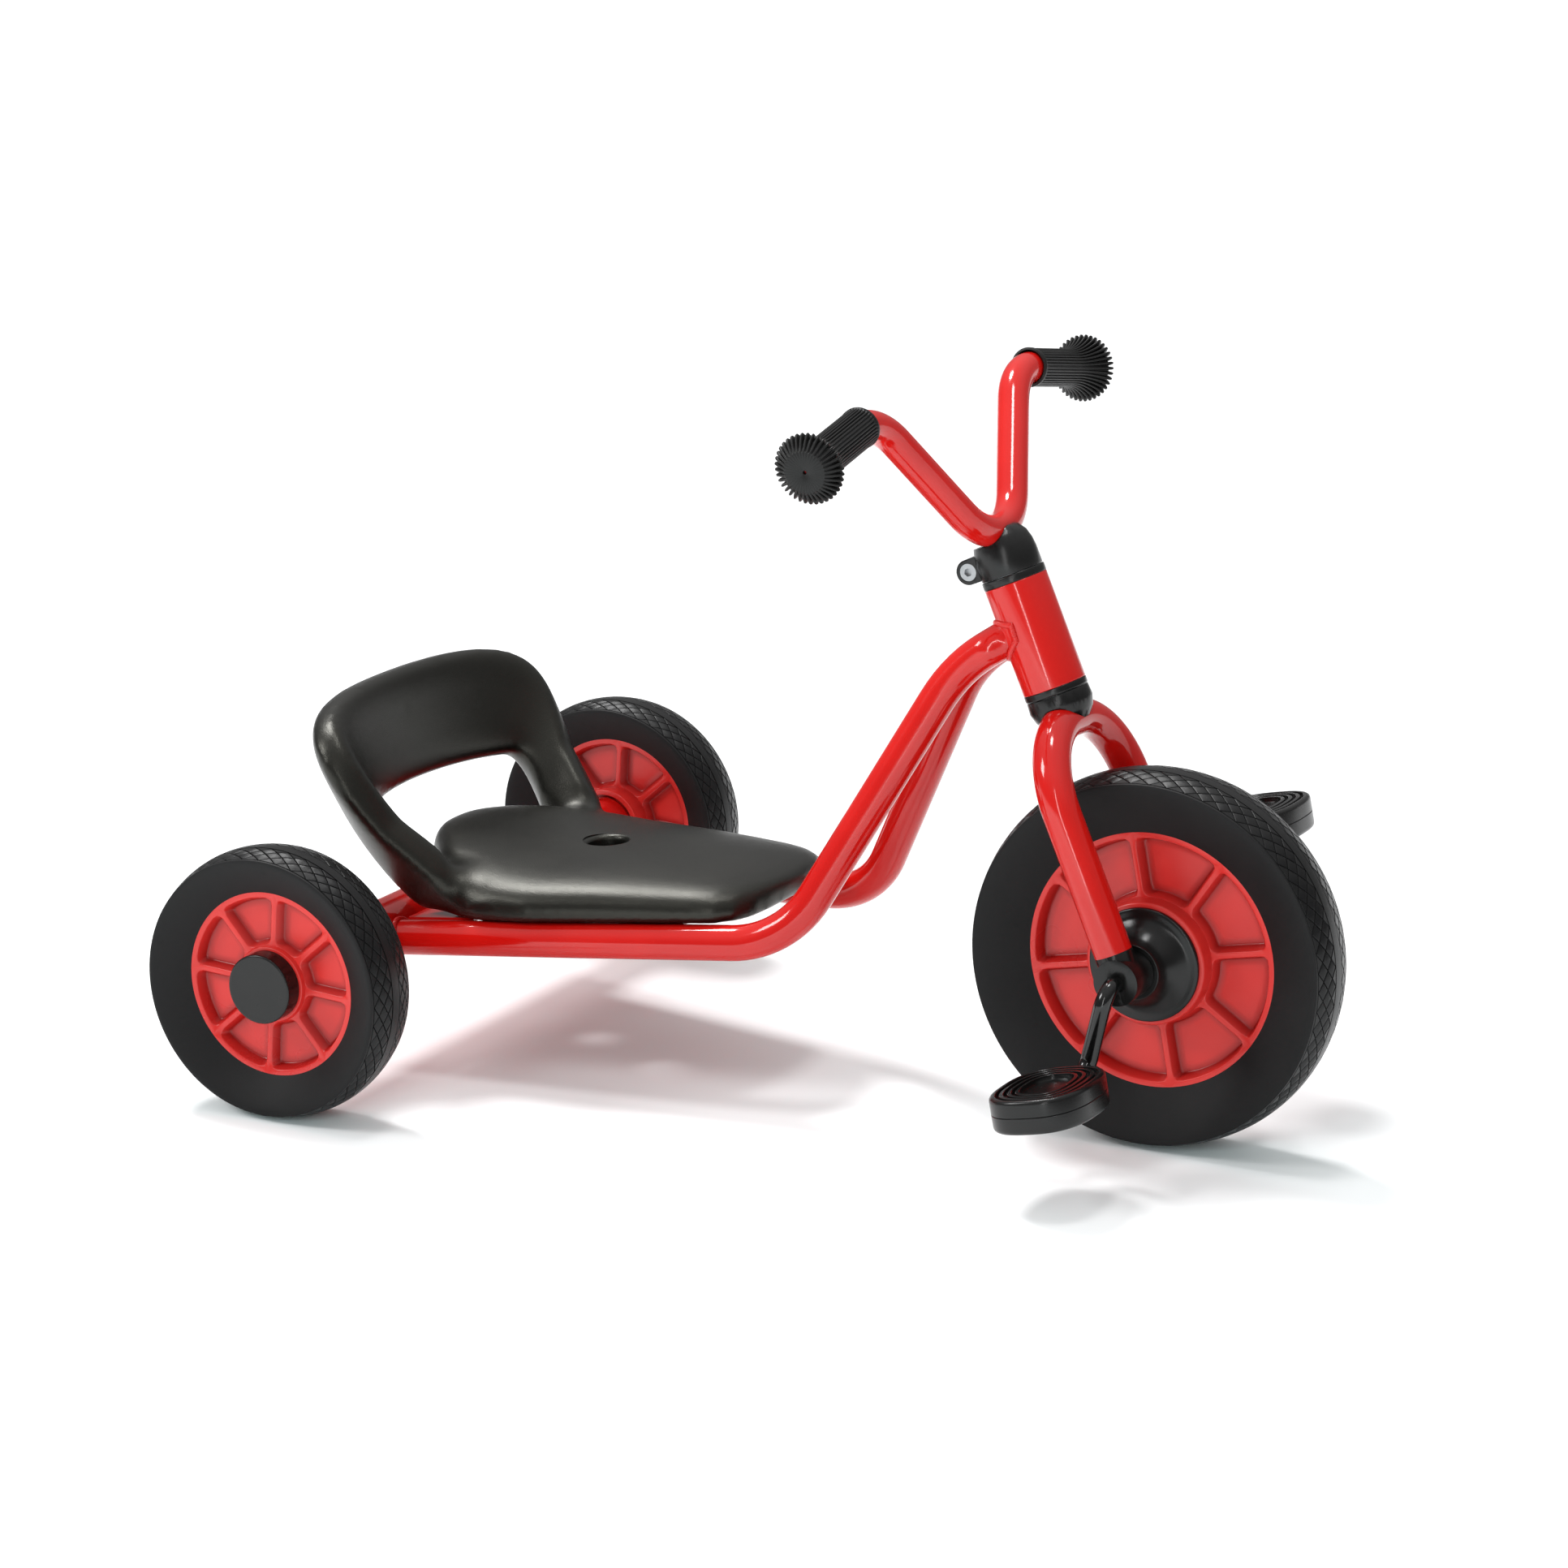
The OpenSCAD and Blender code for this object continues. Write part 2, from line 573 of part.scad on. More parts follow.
// The bore follows the handlebar, bend and all, and ends a fixing gap past its end
grip_bore = concat([bar_points[0] + fix_gap * grip_dir(-1)], [for (i = [1 : 3]) bar_points[i]],
    [bar_points[4] + fix_gap * grip_dir(1)]);
module grip(side) color(black) steering() difference() {
    aimed(grip_foot(side), grip_dir(side)) difference() {
        union() {
            rotate_extrude() polygon(concat([[0, 0], [grip_r - edge / 2, 0], [grip_r, edge / 2]],
                [[grip_r, grip_len * grip_z_shares[0]]],
                [for (i = [1 : 3]) [grip_flange_r * grip_r_shares[i], grip_len * grip_z_shares[i]]],
                [[grip_face_r, grip_len], [0, grip_len]]));
            translate([0, 0, grip_len * grip_z_shares[2]])
                linear_extrude(grip_len * (grip_z_shares[3] - grip_z_shares[2]))
                polygon(star(grip_flange_r, grip_flange_r - tooth_depth, tooth_n));
        }
        for (i = [1 : grip_ring_n]) translate([0, 0, grip_len * grip_z_shares[0] * i / (grip_ring_n + 1)])
            rotate_extrude() translate([grip_r, 0]) circle(edge * grip_ring_share);
    }
    tube_path(grip_bore, bar_bends, bar_r + fix_gap, 0);
}
module grip_right() grip(-1);
module grip_left() grip(1);

// Bearing blocks at the fork ends, each in two halves that meet in the plane of the fork
module bearing_block(side, half) color(black) steering() translate([rake, 0, 0]) intersection() {
    difference() {
        union() {
            outward(side) translate([0, 0, block_in]) cylinder(h = block_out - block_in, r = block_r);
            translate([0, side * fork_y, 0]) cylinder(h = leg_end, r = fork_r);
            translate([0, side * fork_y, 0]) cylinder(h = leg_end + plug_up, r = fork_r - wall - fix_gap);
        }
        outward(side) translate([0, 0, block_in - over])
            cylinder(h = block_out - block_in + 2 * over, r = rod_r + run_gap);
    }
    translate([half > 0 ? 0 : -2 * block_r, side * fork_y - fork_y / 2, -2 * block_r])
        cube([2 * block_r, fork_y, leg_end + plug_up + 3 * block_r]);
}
module bearing_right_front() bearing_block(-1, 1);
module bearing_right_rear() bearing_block(-1, -1);
module bearing_left_front() bearing_block(1, 1);
module bearing_left_rear() bearing_block(1, -1);

// Wheels

// Tyre: a crowned tread and dished sides down to the rim edge
crown_drop_share = 0.2;
rim_half_share = 0.42;
bead_share = 0.5;
bead_up = 3;
module tyre(r, w, rim) {
    drop = w / 2 * crown_drop_share;
    arc_r = (pow(w / 2, 2) + pow(drop, 2)) / (2 * drop);
    hw = w / 2 * rim_half_share;
    rotate_extrude() intersection() {
        polygon([[rim, -hw], [r - drop, -w / 2], [r + over, -w / 2],
            [r + over, w / 2], [r - drop, w / 2], [rim, hw],
            [rim, hw * bead_share], [rim + bead_up, hw * bead_share],
            [rim + bead_up, -hw * bead_share], [rim, -hw * bead_share]]);
        translate([r - arc_r, 0]) circle(arc_r, $fn = 180);
    }
}

rim_ring_share = 0.12;
web_t = 4;
// Ring, web and ribs of a rim, with a hub drawn by the caller
module rim_body(edge_r, w, hub_r, turn) {
    rim = edge_r - fix_gap;
    inner = rim * (1 - rim_ring_share);
    hw = w / 2 * rim_half_share;
    rotate_extrude() polygon([[hub_r, -web_t / 2], [inner, -web_t / 2], [inner, -hw], [rim, -hw],
        [rim, -hw * bead_share + fix_gap], [rim + bead_up, -hw * bead_share + fix_gap],
        [rim + bead_up, hw * bead_share - fix_gap], [rim, hw * bead_share - fix_gap],
        [rim, hw], [inner, hw], [inner, web_t / 2], [hub_r, web_t / 2]]);
    for (i = [0 : rib_n - 1]) rotate(turn + 360 * i / rib_n)
        translate([hub_r - edge, -rib_t / 2, edge - hw])
            cube([inner - hub_r + 2 * edge, rib_t, 2 * (hw - edge)]);
}

module rear_rim(side) color(wheel_red) rear_wheel_at(side) {
    rim_body(rear_r - rear_side, rear_w, boss_r, -90 * side + rear_rib_angle * side);
    rotate_extrude() polygon([[bush_r + fix_gap, boss_floor], [boss_bore, boss_floor],
        [boss_bore, hub_in], [boss_r, hub_in], [boss_r, cap_z0], [cap_r - cap_wall, cap_z0],
        [cap_r - cap_wall, hub_face], [bush_r + fix_gap, hub_face]]);
}
module rear_rim_right() rear_rim(-1);
module rear_rim_left() rear_rim(1);
module rear_tyre_right() color(tyre_black) rear_wheel_at(-1) tyre(rear_r, rear_w, rear_r - rear_side);
module rear_tyre_left() color(tyre_black) rear_wheel_at(1) tyre(rear_r, rear_w, rear_r - rear_side);

module rear_cap(side) color(black) rear_wheel_at(side) rotate_extrude() polygon([
    [cap_r - cap_wall + fix_gap, cap_z0], [cap_r, cap_z0], [cap_r, cap_face - edge], [cap_r - edge, cap_face],
    [0, cap_face], [0, cap_face - cap_wall], [cap_r - cap_wall + fix_gap, cap_face - cap_wall]]);
module rear_cap_right() rear_cap(-1);
module rear_cap_left() rear_cap(1);

// Two flanged bushes carry each rear wheel
module rear_bushes(side) color(steel) rear_wheel_at(side) {
    rotate_extrude() polygon([[rod_r + run_gap, tube_end + bush_gap], [bush_flange_r, tube_end + bush_gap],
        [bush_flange_r, boss_floor], [bush_r, boss_floor],
        [bush_r, bush_split - edge], [rod_r + run_gap, bush_split - edge]]);
    rotate_extrude() polygon([[rod_r + run_gap, bush_split + edge], [bush_r, bush_split + edge],
        [bush_r, hub_face], [bush_flange_r, hub_face],
        [bush_flange_r, hub_face + bush_flange_out], [rod_r + run_gap, hub_face + bush_flange_out]]);
}
module rear_bushes_right() rear_bushes(-1);
module rear_bushes_left() rear_bushes(1);

module front_rim() color(wheel_red) front_wheel_at() outward(1) {
    rim_body(front_r - front_side, front_w, hub_ring_r, -90 + front_rib_angle);
    rotate_extrude() translate([spigot_r + fix_gap, -hub_half])
        square([hub_ring_r - spigot_r - fix_gap, 2 * hub_half]);
}
module front_tyre() color(tyre_black) front_wheel_at() outward(1)
    tyre(front_r, front_w, front_r - front_side);

// Bell shaped flanges carry the front rim on the crank
bell_shares = [0.16, 0.36, 0.64];
bell_r_shares = [0.68, 0.38, 0.14];
module hub_flange(side) color(black) front_wheel_at() outward(side) rotate_extrude() polygon(concat(
    [[rod_r + fix_gap, spigot_in], [spigot_r, spigot_in], [spigot_r, hub_half], [flange_r, hub_half],
        [flange_r, hub_half + flange_t]],
    [for (i = [0 : len(bell_shares) - 1]) [neck_r + (flange_r - neck_r) * bell_r_shares[i],
        hub_half + flange_t + (flange_end - hub_half - flange_t) * bell_shares[i]]],
    [[neck_r, flange_end], [rod_r + fix_gap, flange_end]]));
module hub_flange_right() hub_flange(-1);
module hub_flange_left() hub_flange(1);

// Crank: one bent rod through the wheel, arms opposite one another
crank_dir = [-sin(crank_turn), 0, -cos(crank_turn)];
crank_points = [
    [0, -rod_end, 0] + crank_r * crank_dir, [0, -arm_y, 0] + crank_r * crank_dir, [0, -arm_y, 0],
    [0, arm_y, 0], [0, arm_y, 0] - crank_r * crank_dir, [0, rod_end, 0] - crank_r * crank_dir];
crank_bends = [0, rod_bend, rod_bend, rod_bend, rod_bend, 0];
module crank_axle() color(black) front_wheel_at() tube_path(crank_points, crank_bends, rod_r, 0);

module pin_at(side) front_wheel_at() translate(-side * crank_r * crank_dir) outward(side) children();
module pedal_clips() color(steel) for (s = [-1, 1]) pin_at(s)
    translate([0, 0, clip_out - clip_t]) linear_extrude(clip_t) ring(clip_r, rod_r + fix_gap);

// Pedals: two halves that meet in the plane of the pin
pedal_power = 2.65;
oval_n = 48;
groove_shares = [0.86, 0.62, 0.38];
groove_t = 3;
groove_depth = 2;
module pedal(side, half) color(black) pin_at(side) rotate([0, 0, -pedal_tilt * side]) difference() {
    pedal_slab(pedal_t / 2, half > 0 ? -side : side);
    translate([0, 0, pedal_in - over])
        cylinder(h = rod_end + 2 * pass_gap - pedal_in + over, r = rod_r + run_gap);
    translate([0, 0, clip_out - clip_t - pass_gap])
        cylinder(h = clip_t + 2 * pass_gap, r = clip_r + pass_gap);
}
// Half of a pedal as a slab with oval grooves in its tread face
module pedal_slab(t, up) rotate([90, 0, 0]) translate([0, pedal_in + pedal_len / 2, 0])
    mirror([0, 0, up > 0 ? 1 : 0]) difference() {
        linear_extrude(t) polygon(oval(pedal_w / 2, pedal_len / 2, oval_n, pedal_power));
        for (g = groove_shares) translate([0, 0, t - groove_depth])
            linear_extrude(groove_depth + over) difference() {
                polygon(oval(pedal_w / 2 * g, pedal_len / 2 * g, oval_n, pedal_power));
                polygon(oval(pedal_w / 2 * g - groove_t, pedal_len / 2 * g - groove_t, oval_n, pedal_power));
            }
    }
module pedal_right_upper() pedal(-1, 1);
module pedal_right_lower() pedal(-1, -1);
module pedal_left_upper() pedal(1, 1);
module pedal_left_lower() pedal(1, -1);

frame_tube_right();
frame_tube_left();
head_tube();
rear_cross_tube();
seat_plate_rear();
seat_plate_front();
seat();
seat_bolts();
upper_bearing();
lower_bearing();
rear_axle();
axle_plugs();
axle_nuts();
fork_tube();
steerer_tube();
crown_cup();
handlebar_clamp();
clamp_bolt();
clamp_nut();
handlebar();
handlebar_stub();
grip_right();
grip_left();
bearing_right_front();
bearing_right_rear();
bearing_left_front();
bearing_left_rear();
front_rim();
front_tyre();
hub_flange_right();
hub_flange_left();
crank_axle();
pedal_clips();
pedal_right_upper();
pedal_right_lower();
pedal_left_upper();
pedal_left_lower();
rear_rim_right();
rear_tyre_right();
rear_cap_right();
rear_bushes_right();
rear_rim_left();
rear_tyre_left();
rear_cap_left();
rear_bushes_left();
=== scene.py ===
import json
import bpy
import bmesh
import numpy as np
from math import atan2, copysign, cos, degrees, hypot, pi, radians, sin, sqrt, tan
from mathutils import Matrix, Vector


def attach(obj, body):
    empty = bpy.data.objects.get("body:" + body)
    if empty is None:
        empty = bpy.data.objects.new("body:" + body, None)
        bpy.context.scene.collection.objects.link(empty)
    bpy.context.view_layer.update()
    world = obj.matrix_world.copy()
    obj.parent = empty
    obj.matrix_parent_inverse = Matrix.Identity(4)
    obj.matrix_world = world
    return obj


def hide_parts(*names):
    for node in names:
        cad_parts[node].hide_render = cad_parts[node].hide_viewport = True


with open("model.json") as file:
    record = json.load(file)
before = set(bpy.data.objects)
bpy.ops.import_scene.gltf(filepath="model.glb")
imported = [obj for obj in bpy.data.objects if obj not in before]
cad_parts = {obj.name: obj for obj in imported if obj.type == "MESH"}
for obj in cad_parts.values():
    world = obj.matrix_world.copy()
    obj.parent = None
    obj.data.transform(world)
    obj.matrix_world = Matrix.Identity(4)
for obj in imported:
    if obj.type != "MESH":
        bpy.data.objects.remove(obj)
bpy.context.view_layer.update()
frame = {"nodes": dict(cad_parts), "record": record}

mm = 0.001
lean = radians(23.92)  # steering axis, from upright
rake = 1.6
rearAxle = Vector((-246.25, 0, 80)) * mm
frontAxle = Vector((216.25, 0, 110)) * mm
forkFoot = frontAxle - rake * mm * Vector((cos(lean), 0, sin(lean)))
steerFrame = Matrix.Translation(forkFoot) @ Matrix.Rotation(-lean, 4, "Y")
sides = ((-1, "right"), (1, "left"))
sharpEdge = 38  # degrees
print("frame loaded:", len(frame["nodes"]), "nodes")


# shader maths: a socket with operators, and one method for any other node
class Wire:
    def __init__(self, tree, socket):
        self.tree, self.socket = tree, socket

    def node(self, kind, settings=None, **sockets):
        made = self.tree.nodes.new(kind)
        for key, value in (settings or {}).items():
            setattr(made, key, value)
        for key, value in sockets.items():
            spot = made.inputs[int(key[1:]) if key[1:].isdigit() else key]
            if isinstance(value, Wire):
                self.tree.links.new(value.socket, spot)
            else:
                spot.default_value = value
        return made

    def out(self, kind, settings=None, pick=0, **sockets):
        return Wire(self.tree, self.node(kind, settings, **sockets).outputs[pick])

    def maths(self, operation, a, b):
        return self.out("ShaderNodeMath", {"operation": operation}, i0=a, i1=b)

    def __add__(self, other): return self.maths("ADD", self, other)
    def __radd__(self, other): return self.maths("ADD", other, self)
    def __mul__(self, other): return self.maths("MULTIPLY", self, other)

    def blendTo(self, first, second):
        return self.out("ShaderNodeMix", {"data_type": "RGBA"}, 2, i0=self, i6=first, i7=second)

    def between(self, low, high):
        return self.out("ShaderNodeMapRange", {"interpolation_type": "SMOOTHSTEP"}, 0, i0=self, i1=low, i2=high)


def source(tree, kind, label):
    return Wire(tree, tree.nodes.new(kind).outputs[label])


def noise(place, scale, detail=3.0, rough=0.55):
    return place.out("ShaderNodeTexNoise", None, 0, Vector=place, Scale=scale, Detail=detail, Roughness=rough)


# what the finishes share: where patches, specks, scuffs and dust begin and end, and plain values
finishShape = dict(patch=(0.35, 0.65), speck=(0.62, 0.78), scuff=(0.6, 0.74), upward=(0.2, 1.0), dust=(0.4, 0.8),
    dustScale=3, dustRough=0.3, bumpDepth=0.001, fine=2.0, scuffs=(6.0, 0.7), plain=1.0)
plainLook = dict(metal=0.0, coat=0.0, coatRough=0.05, specular=0.5, sheenTint=(1, 1, 1, 1), bumpStrength=0.35)
socketOf = dict(metal="Metallic", coat="Coat Weight", coatRough="Coat Roughness", specular="Specular IOR Level",
    sheenTint="Specular Tint")


# a finish: colour patches, dust that settles on upward faces, scuffs, painted shade in deep corners where a look gives
# one, and a bump of two grains
def finish(name, ownLook):
    s, look = finishShape, dict(plainLook, **ownLook)
    material = bpy.data.materials.new(name)
    material.use_nodes = True
    tree = material.node_tree
    shader = tree.nodes["Principled BSDF"]
    place = source(tree, "ShaderNodeTexCoord", "Object")
    facing = source(tree, "ShaderNodeNewGeometry", "Normal")
    upward = facing.out("ShaderNodeSeparateXYZ", None, 2, Vector=facing).between(*s["upward"])
    patch = noise(place, look["patchScale"]).between(*s["patch"])
    speck = noise(place, look["speckScale"], s["fine"]).between(*s["speck"])
    scuff = noise(place, look["scuffScale"], *s["scuffs"]).between(*s["scuff"])
    dusty = upward * noise(place, look["patchScale"] * s["dustScale"]).between(*s["dust"]) * look["dust"]
    colour = patch.blendTo((*look["dark"], 1), (*look["light"], 1))
    colour = dusty.blendTo(colour, (*look["dustColour"], 1))
    colour = (speck * look["speck"]).blendTo(colour, (*look["speckColour"], 1))
    if "recess" in look:  # painted shade: the colour is darkened towards deep corners
        deep = place.out("ShaderNodeAttribute", {"attribute_name": "recess"}, 2)
        colour = deep.blendTo(colour, (*look["recess"], 1))
    rough = look["rough"] + patch * look["roughSwing"] + scuff * look["scuff"] + dusty * s["dustRough"]
    if "worn" in look:  # the tread is smoother than the sides
        rough = rough + place.out("ShaderNodeAttribute", {"attribute_name": "tread"}, 2) * look["worn"]
    tree.links.new(colour.socket, shader.inputs["Base Color"])
    tree.links.new(rough.socket, shader.inputs["Roughness"])
    for key, label in socketOf.items():
        shader.inputs[label].default_value = look[key]
    height = noise(place, look["grainScale"], s["fine"]) * look["grain"]
    height = height + noise(place, look["waveScale"], s["plain"]) * look["wave"]
    bump = place.node("ShaderNodeBump", None, Strength=look["bumpStrength"], Distance=s["bumpDepth"], Height=height)
    tree.links.new(bump.outputs[0], shader.inputs["Normal"])
    return material


redPaintLook = dict(dark=(0.52, 0.0050, 0.0035), light=(0.58, 0.0075, 0.0050), patchScale=9, speckScale=900,
    speck=0.25, speckColour=(0.62, 0.03, 0.02), scuffScale=45, scuff=0.05, dust=0.03, dustColour=(0.56, 0.12, 0.10),
    rough=0.11, roughSwing=0.04, specular=0.38, coat=0.25, coatRough=0.03, grainScale=420, grain=0.05,
    waveScale=90, wave=0.10)
# the wheel plastic's dark red for the pocket corners is painted shade, not a colour of the plastic
wheelRedLook = dict(dark=(0.58, 0.020, 0.017), light=(0.64, 0.028, 0.023), patchScale=14, speckScale=1300,
    speck=0.12, speckColour=(0.68, 0.07, 0.06), scuffScale=60, scuff=0.10, dust=0.06, dustColour=(0.62, 0.16, 0.13),
    rough=0.27, specular=0.40, recess=(0.30, 0.005, 0.004), roughSwing=0.08, grainScale=1800, grain=0.10,
    waveScale=60, wave=0.06)
tyreLook = dict(dark=(0.0050, 0.0050, 0.0054), light=(0.0080, 0.0080, 0.0084), patchScale=18, speckScale=1500,
    speck=0.12, speckColour=(0.03, 0.03, 0.028), scuffScale=55, scuff=0.10, dust=0.10,
    dustColour=(0.035, 0.034, 0.030), specular=0.22, rough=0.56, roughSwing=0.08, worn=-0.26, grainScale=2400,
    grain=0.20, waveScale=160, wave=0.10)
seatLook = dict(dark=(0.0036, 0.0035, 0.0030), light=(0.0056, 0.0054, 0.0046), patchScale=10, speckScale=1900,
    speck=0.30, speckColour=(0.022, 0.021, 0.018), scuffScale=38, scuff=0.08, dust=0.10,
    dustColour=(0.030, 0.029, 0.024), specular=0.42, sheenTint=(1, 0.985, 0.87, 1), rough=0.29, roughSwing=0.05,
    grainScale=1500, grain=0.28, waveScale=120, wave=0.05, bumpStrength=0.5)
plasticLook = dict(dark=(0.0045, 0.0045, 0.0045), light=(0.0070, 0.0070, 0.0068), patchScale=22, speckScale=1700,
    speck=0.15, speckColour=(0.022, 0.022, 0.020), scuffScale=70, scuff=0.10, dust=0.06,
    dustColour=(0.030, 0.029, 0.026), specular=0.34, rough=0.21, roughSwing=0.05, grainScale=1900, grain=0.12,
    waveScale=140, wave=0.05)
gripLook = dict(plasticLook, rough=0.36, dust=0.12, grain=0.30, specular=0.26)
crankLook = dict(plasticLook, rough=0.10, roughSwing=0.04, coat=0.15, grain=0.04, speck=0.08, dust=0.03,
    specular=0.40, dark=(0.0022, 0.0022, 0.0022), light=(0.0035, 0.0035, 0.0035))
steelLook = dict(dark=(0.26, 0.27, 0.28), light=(0.38, 0.39, 0.40), patchScale=60, speckScale=900, metal=1.0,
    speck=0.2, speckColour=(0.7, 0.7, 0.7), scuffScale=120, scuff=0.15, dust=0.05, dustColour=(0.3, 0.29, 0.27),
    rough=0.30, roughSwing=0.12, grainScale=1500, grain=0.10, waveScale=200, wave=0.05)
redPaint = finish("redPowderCoat", redPaintLook)
wheelRed = finish("redWheelPlastic", wheelRedLook)
tyreBlack = finish("tyreRubber", tyreLook)
seatBlack = finish("seatPlastic", seatLook)
plasticBlack = finish("blackPlastic", plasticLook)
gripBlack = finish("gripRubber", gripLook)
crankBlack = finish("blackEnamel", crankLook)
zinc = finish("zincSteel", steelLook)
slotOf = {redPaint: "red_paint", wheelRed: "wheel_plastic", tyreBlack: "tyre", seatBlack: "seat_plastic",
    plasticBlack: "black_plastic", gripBlack: "grip_rubber", crankBlack: "black_paint", zinc: "steel"}
materialOf = {slot: material for material, slot in slotOf.items()}
print("finishes made:", len(slotOf))


def stand(name, data):
    made = bpy.data.objects.new(name, data)
    bpy.context.scene.collection.objects.link(made)
    return made


def coatWith(mesh, material):
    mesh.materials.clear()
    mesh.materials.append(material)


def polish(mesh, sharp=sharpEdge, weld=1e-6):
    work = bmesh.new()
    work.from_mesh(mesh)
    bmesh.ops.remove_doubles(work, verts=work.verts, dist=weld)
    bmesh.ops.recalc_face_normals(work, faces=work.faces)
    work.to_mesh(mesh)
    work.free()
    mesh.shade_smooth()
    mesh.set_sharp_from_angle(angle=radians(sharp))


# a mesh object from points and faces, smooth but for edges sharper than the given angle
def newPiece(name, points, faces, material, sharp=sharpEdge, **values):
    mesh = bpy.data.meshes.new(name)
    mesh.from_pydata([tuple(p) for p in points], [], faces)
    for label, numbers in values.items():
        mesh.attributes.new(label, "FLOAT", "POINT").data.foreach_set("value", numbers)
    mesh.materials.append(material)
    polish(mesh, sharp)
    return stand(name, mesh)


def settle(piece, body, *nodes):
    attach(piece, body)
    if nodes:
        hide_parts(*nodes)


def placeMesh(piece, matrix):
    piece.data.transform(matrix)
    piece.data.update()
    return piece


# bakes a piece's modifiers into its mesh
def applied(piece):
    bpy.context.view_layer.update()
    made = bpy.data.meshes.new_from_object(piece.evaluated_get(bpy.context.evaluated_depsgraph_get()))
    piece.modifiers.clear()
    piece.data = made
    return piece


def eased(t):
    return t * t * (3 - 2 * t)


# one axis of a rounded square; the power says how square
def squarish(value, power):
    return copysign(abs(value) ** (2 / power), value)


# faces between rows of n points each; closed rows join their own ends
def quads(rows, n, closed=True, first=0):
    faces = []
    for k in range(rows - 1):
        for j in range(n if closed else n - 1):
            a, b = first + k * n + j, first + k * n + (j + 1) % n
            faces.append((a, b, b + n, a + n))
    return faces


def capped(rows, n):
    return quads(rows, n) + [tuple(range(n)), tuple(range((rows - 1) * n, rows * n))]


# turned piece: profile of (radius, height) in mm round the local Z axis; one off the axis closes on itself
def turned(name, profile, material, steps=96):
    points, faces, rings = [], [], []
    for radius, height in profile:
        count = steps if radius > 0 else 1
        rings.append(range(len(points), len(points) + count))
        for k in range(count):
            a = 2 * pi * k / steps
            points.append((radius * mm * cos(a), radius * mm * sin(a), height * mm))
    pairs = list(zip(rings, rings[1:]))
    if len(rings[0]) > 1 and len(rings[-1]) > 1:
        pairs.append((rings[-1], rings[0]))
    for low, high in pairs:
        for k in range(max(len(low), len(high)) if len(low) + len(high) > 2 else 0):
            n = (k + 1) % steps
            corners = low[k % len(low)], low[n % len(low)], high[n % len(high)], high[k % len(high)]
            faces.append(tuple(dict.fromkeys(corners)))  # names a point on the axis once
    return newPiece(name, points, faces, material)


# rounds the corners of a profile: each corner is (radius, height, fillet)
def rounded(corners, steps=4, most=0.45):
    line = []
    for k, (r, z, fillet) in enumerate(corners):
        here = Vector((r, z))
        if fillet <= 0 or k in (0, len(corners) - 1):
            line.append((r, z))
            continue
        a = Vector(corners[k - 1][:2]) - here
        b = Vector(corners[k + 1][:2]) - here
        reach = min(fillet, a.length * most, b.length * most)
        start, end = here + a.normalized() * reach, here + b.normalized() * reach
        for j in range(steps + 1):
            t = j / steps
            spot = (1 - t) ** 2 * start + 2 * t * (1 - t) * here + t * t * end
            line.append((spot.x, spot.y))
    return line


# axis of a wheel: local Z points out along Y on the given side
def wheelFrame(centre, side):
    return Matrix.Translation(centre) @ Matrix.Rotation(-side * pi / 2, 4, "X")


def newTree(name, result, **inputs):
    tree = bpy.data.node_groups.new(name, "GeometryNodeTree")
    for label, kind in inputs.items():
        tree.interface.new_socket(label, in_out="INPUT", socket_type="NodeSocket" + kind)
    tree.interface.new_socket(result, in_out="OUTPUT", socket_type="NodeSocketGeometry")
    return tree


# links given as (node, output, node, input)
def wireUp(tree, *runs):
    for start, output, end, entry in runs:
        tree.links.new(start.outputs[output], end.inputs[entry])


# node tree that copies a wedge round the Z axis
def roundTree():
    tree = newTree("copiesRound", "Ring", Wedge="Geometry", Count="Int", Turn="Float", Weld="Float", Finish="Material")
    add = tree.nodes.new
    given, result = add("NodeGroupInput"), add("NodeGroupOutput")
    line, index = add("GeometryNodeMeshLine"), add("GeometryNodeInputIndex")
    share, angle, shifted = add("ShaderNodeMath"), add("ShaderNodeMath"), add("ShaderNodeMath")
    axis, turn = add("ShaderNodeCombineXYZ"), add("FunctionNodeEulerToRotation")
    copies, real = add("GeometryNodeInstanceOnPoints"), add("GeometryNodeRealizeInstances")
    weld, paint = add("GeometryNodeMergeByDistance"), add("GeometryNodeSetMaterial")
    line.inputs["Offset"].default_value = (0, 0, 0)
    share.operation, angle.operation, shifted.operation = "DIVIDE", "MULTIPLY", "ADD"
    angle.inputs[1].default_value = 2 * pi
    wireUp(tree, (given, "Count", line, "Count"), (index, 0, share, 0), (given, "Count", share, 1),
        (share, 0, angle, 0), (angle, 0, shifted, 0), (given, "Turn", shifted, 1), (shifted, 0, axis, "Z"),
        (axis, 0, turn, 0), (line, 0, copies, "Points"), (given, "Wedge", copies, "Instance"),
        (turn, 0, copies, "Rotation"), (copies, 0, real, 0), (real, 0, weld, "Geometry"),
        (given, "Weld", weld, "Distance"), (weld, 0, paint, "Geometry"), (given, "Finish", paint, "Material"),
        (paint, 0, result, "Ring"))
    return tree


weldShape = dict(radius=1.9, ripple=1.15, squash=0.75, segments=12, rings=7)


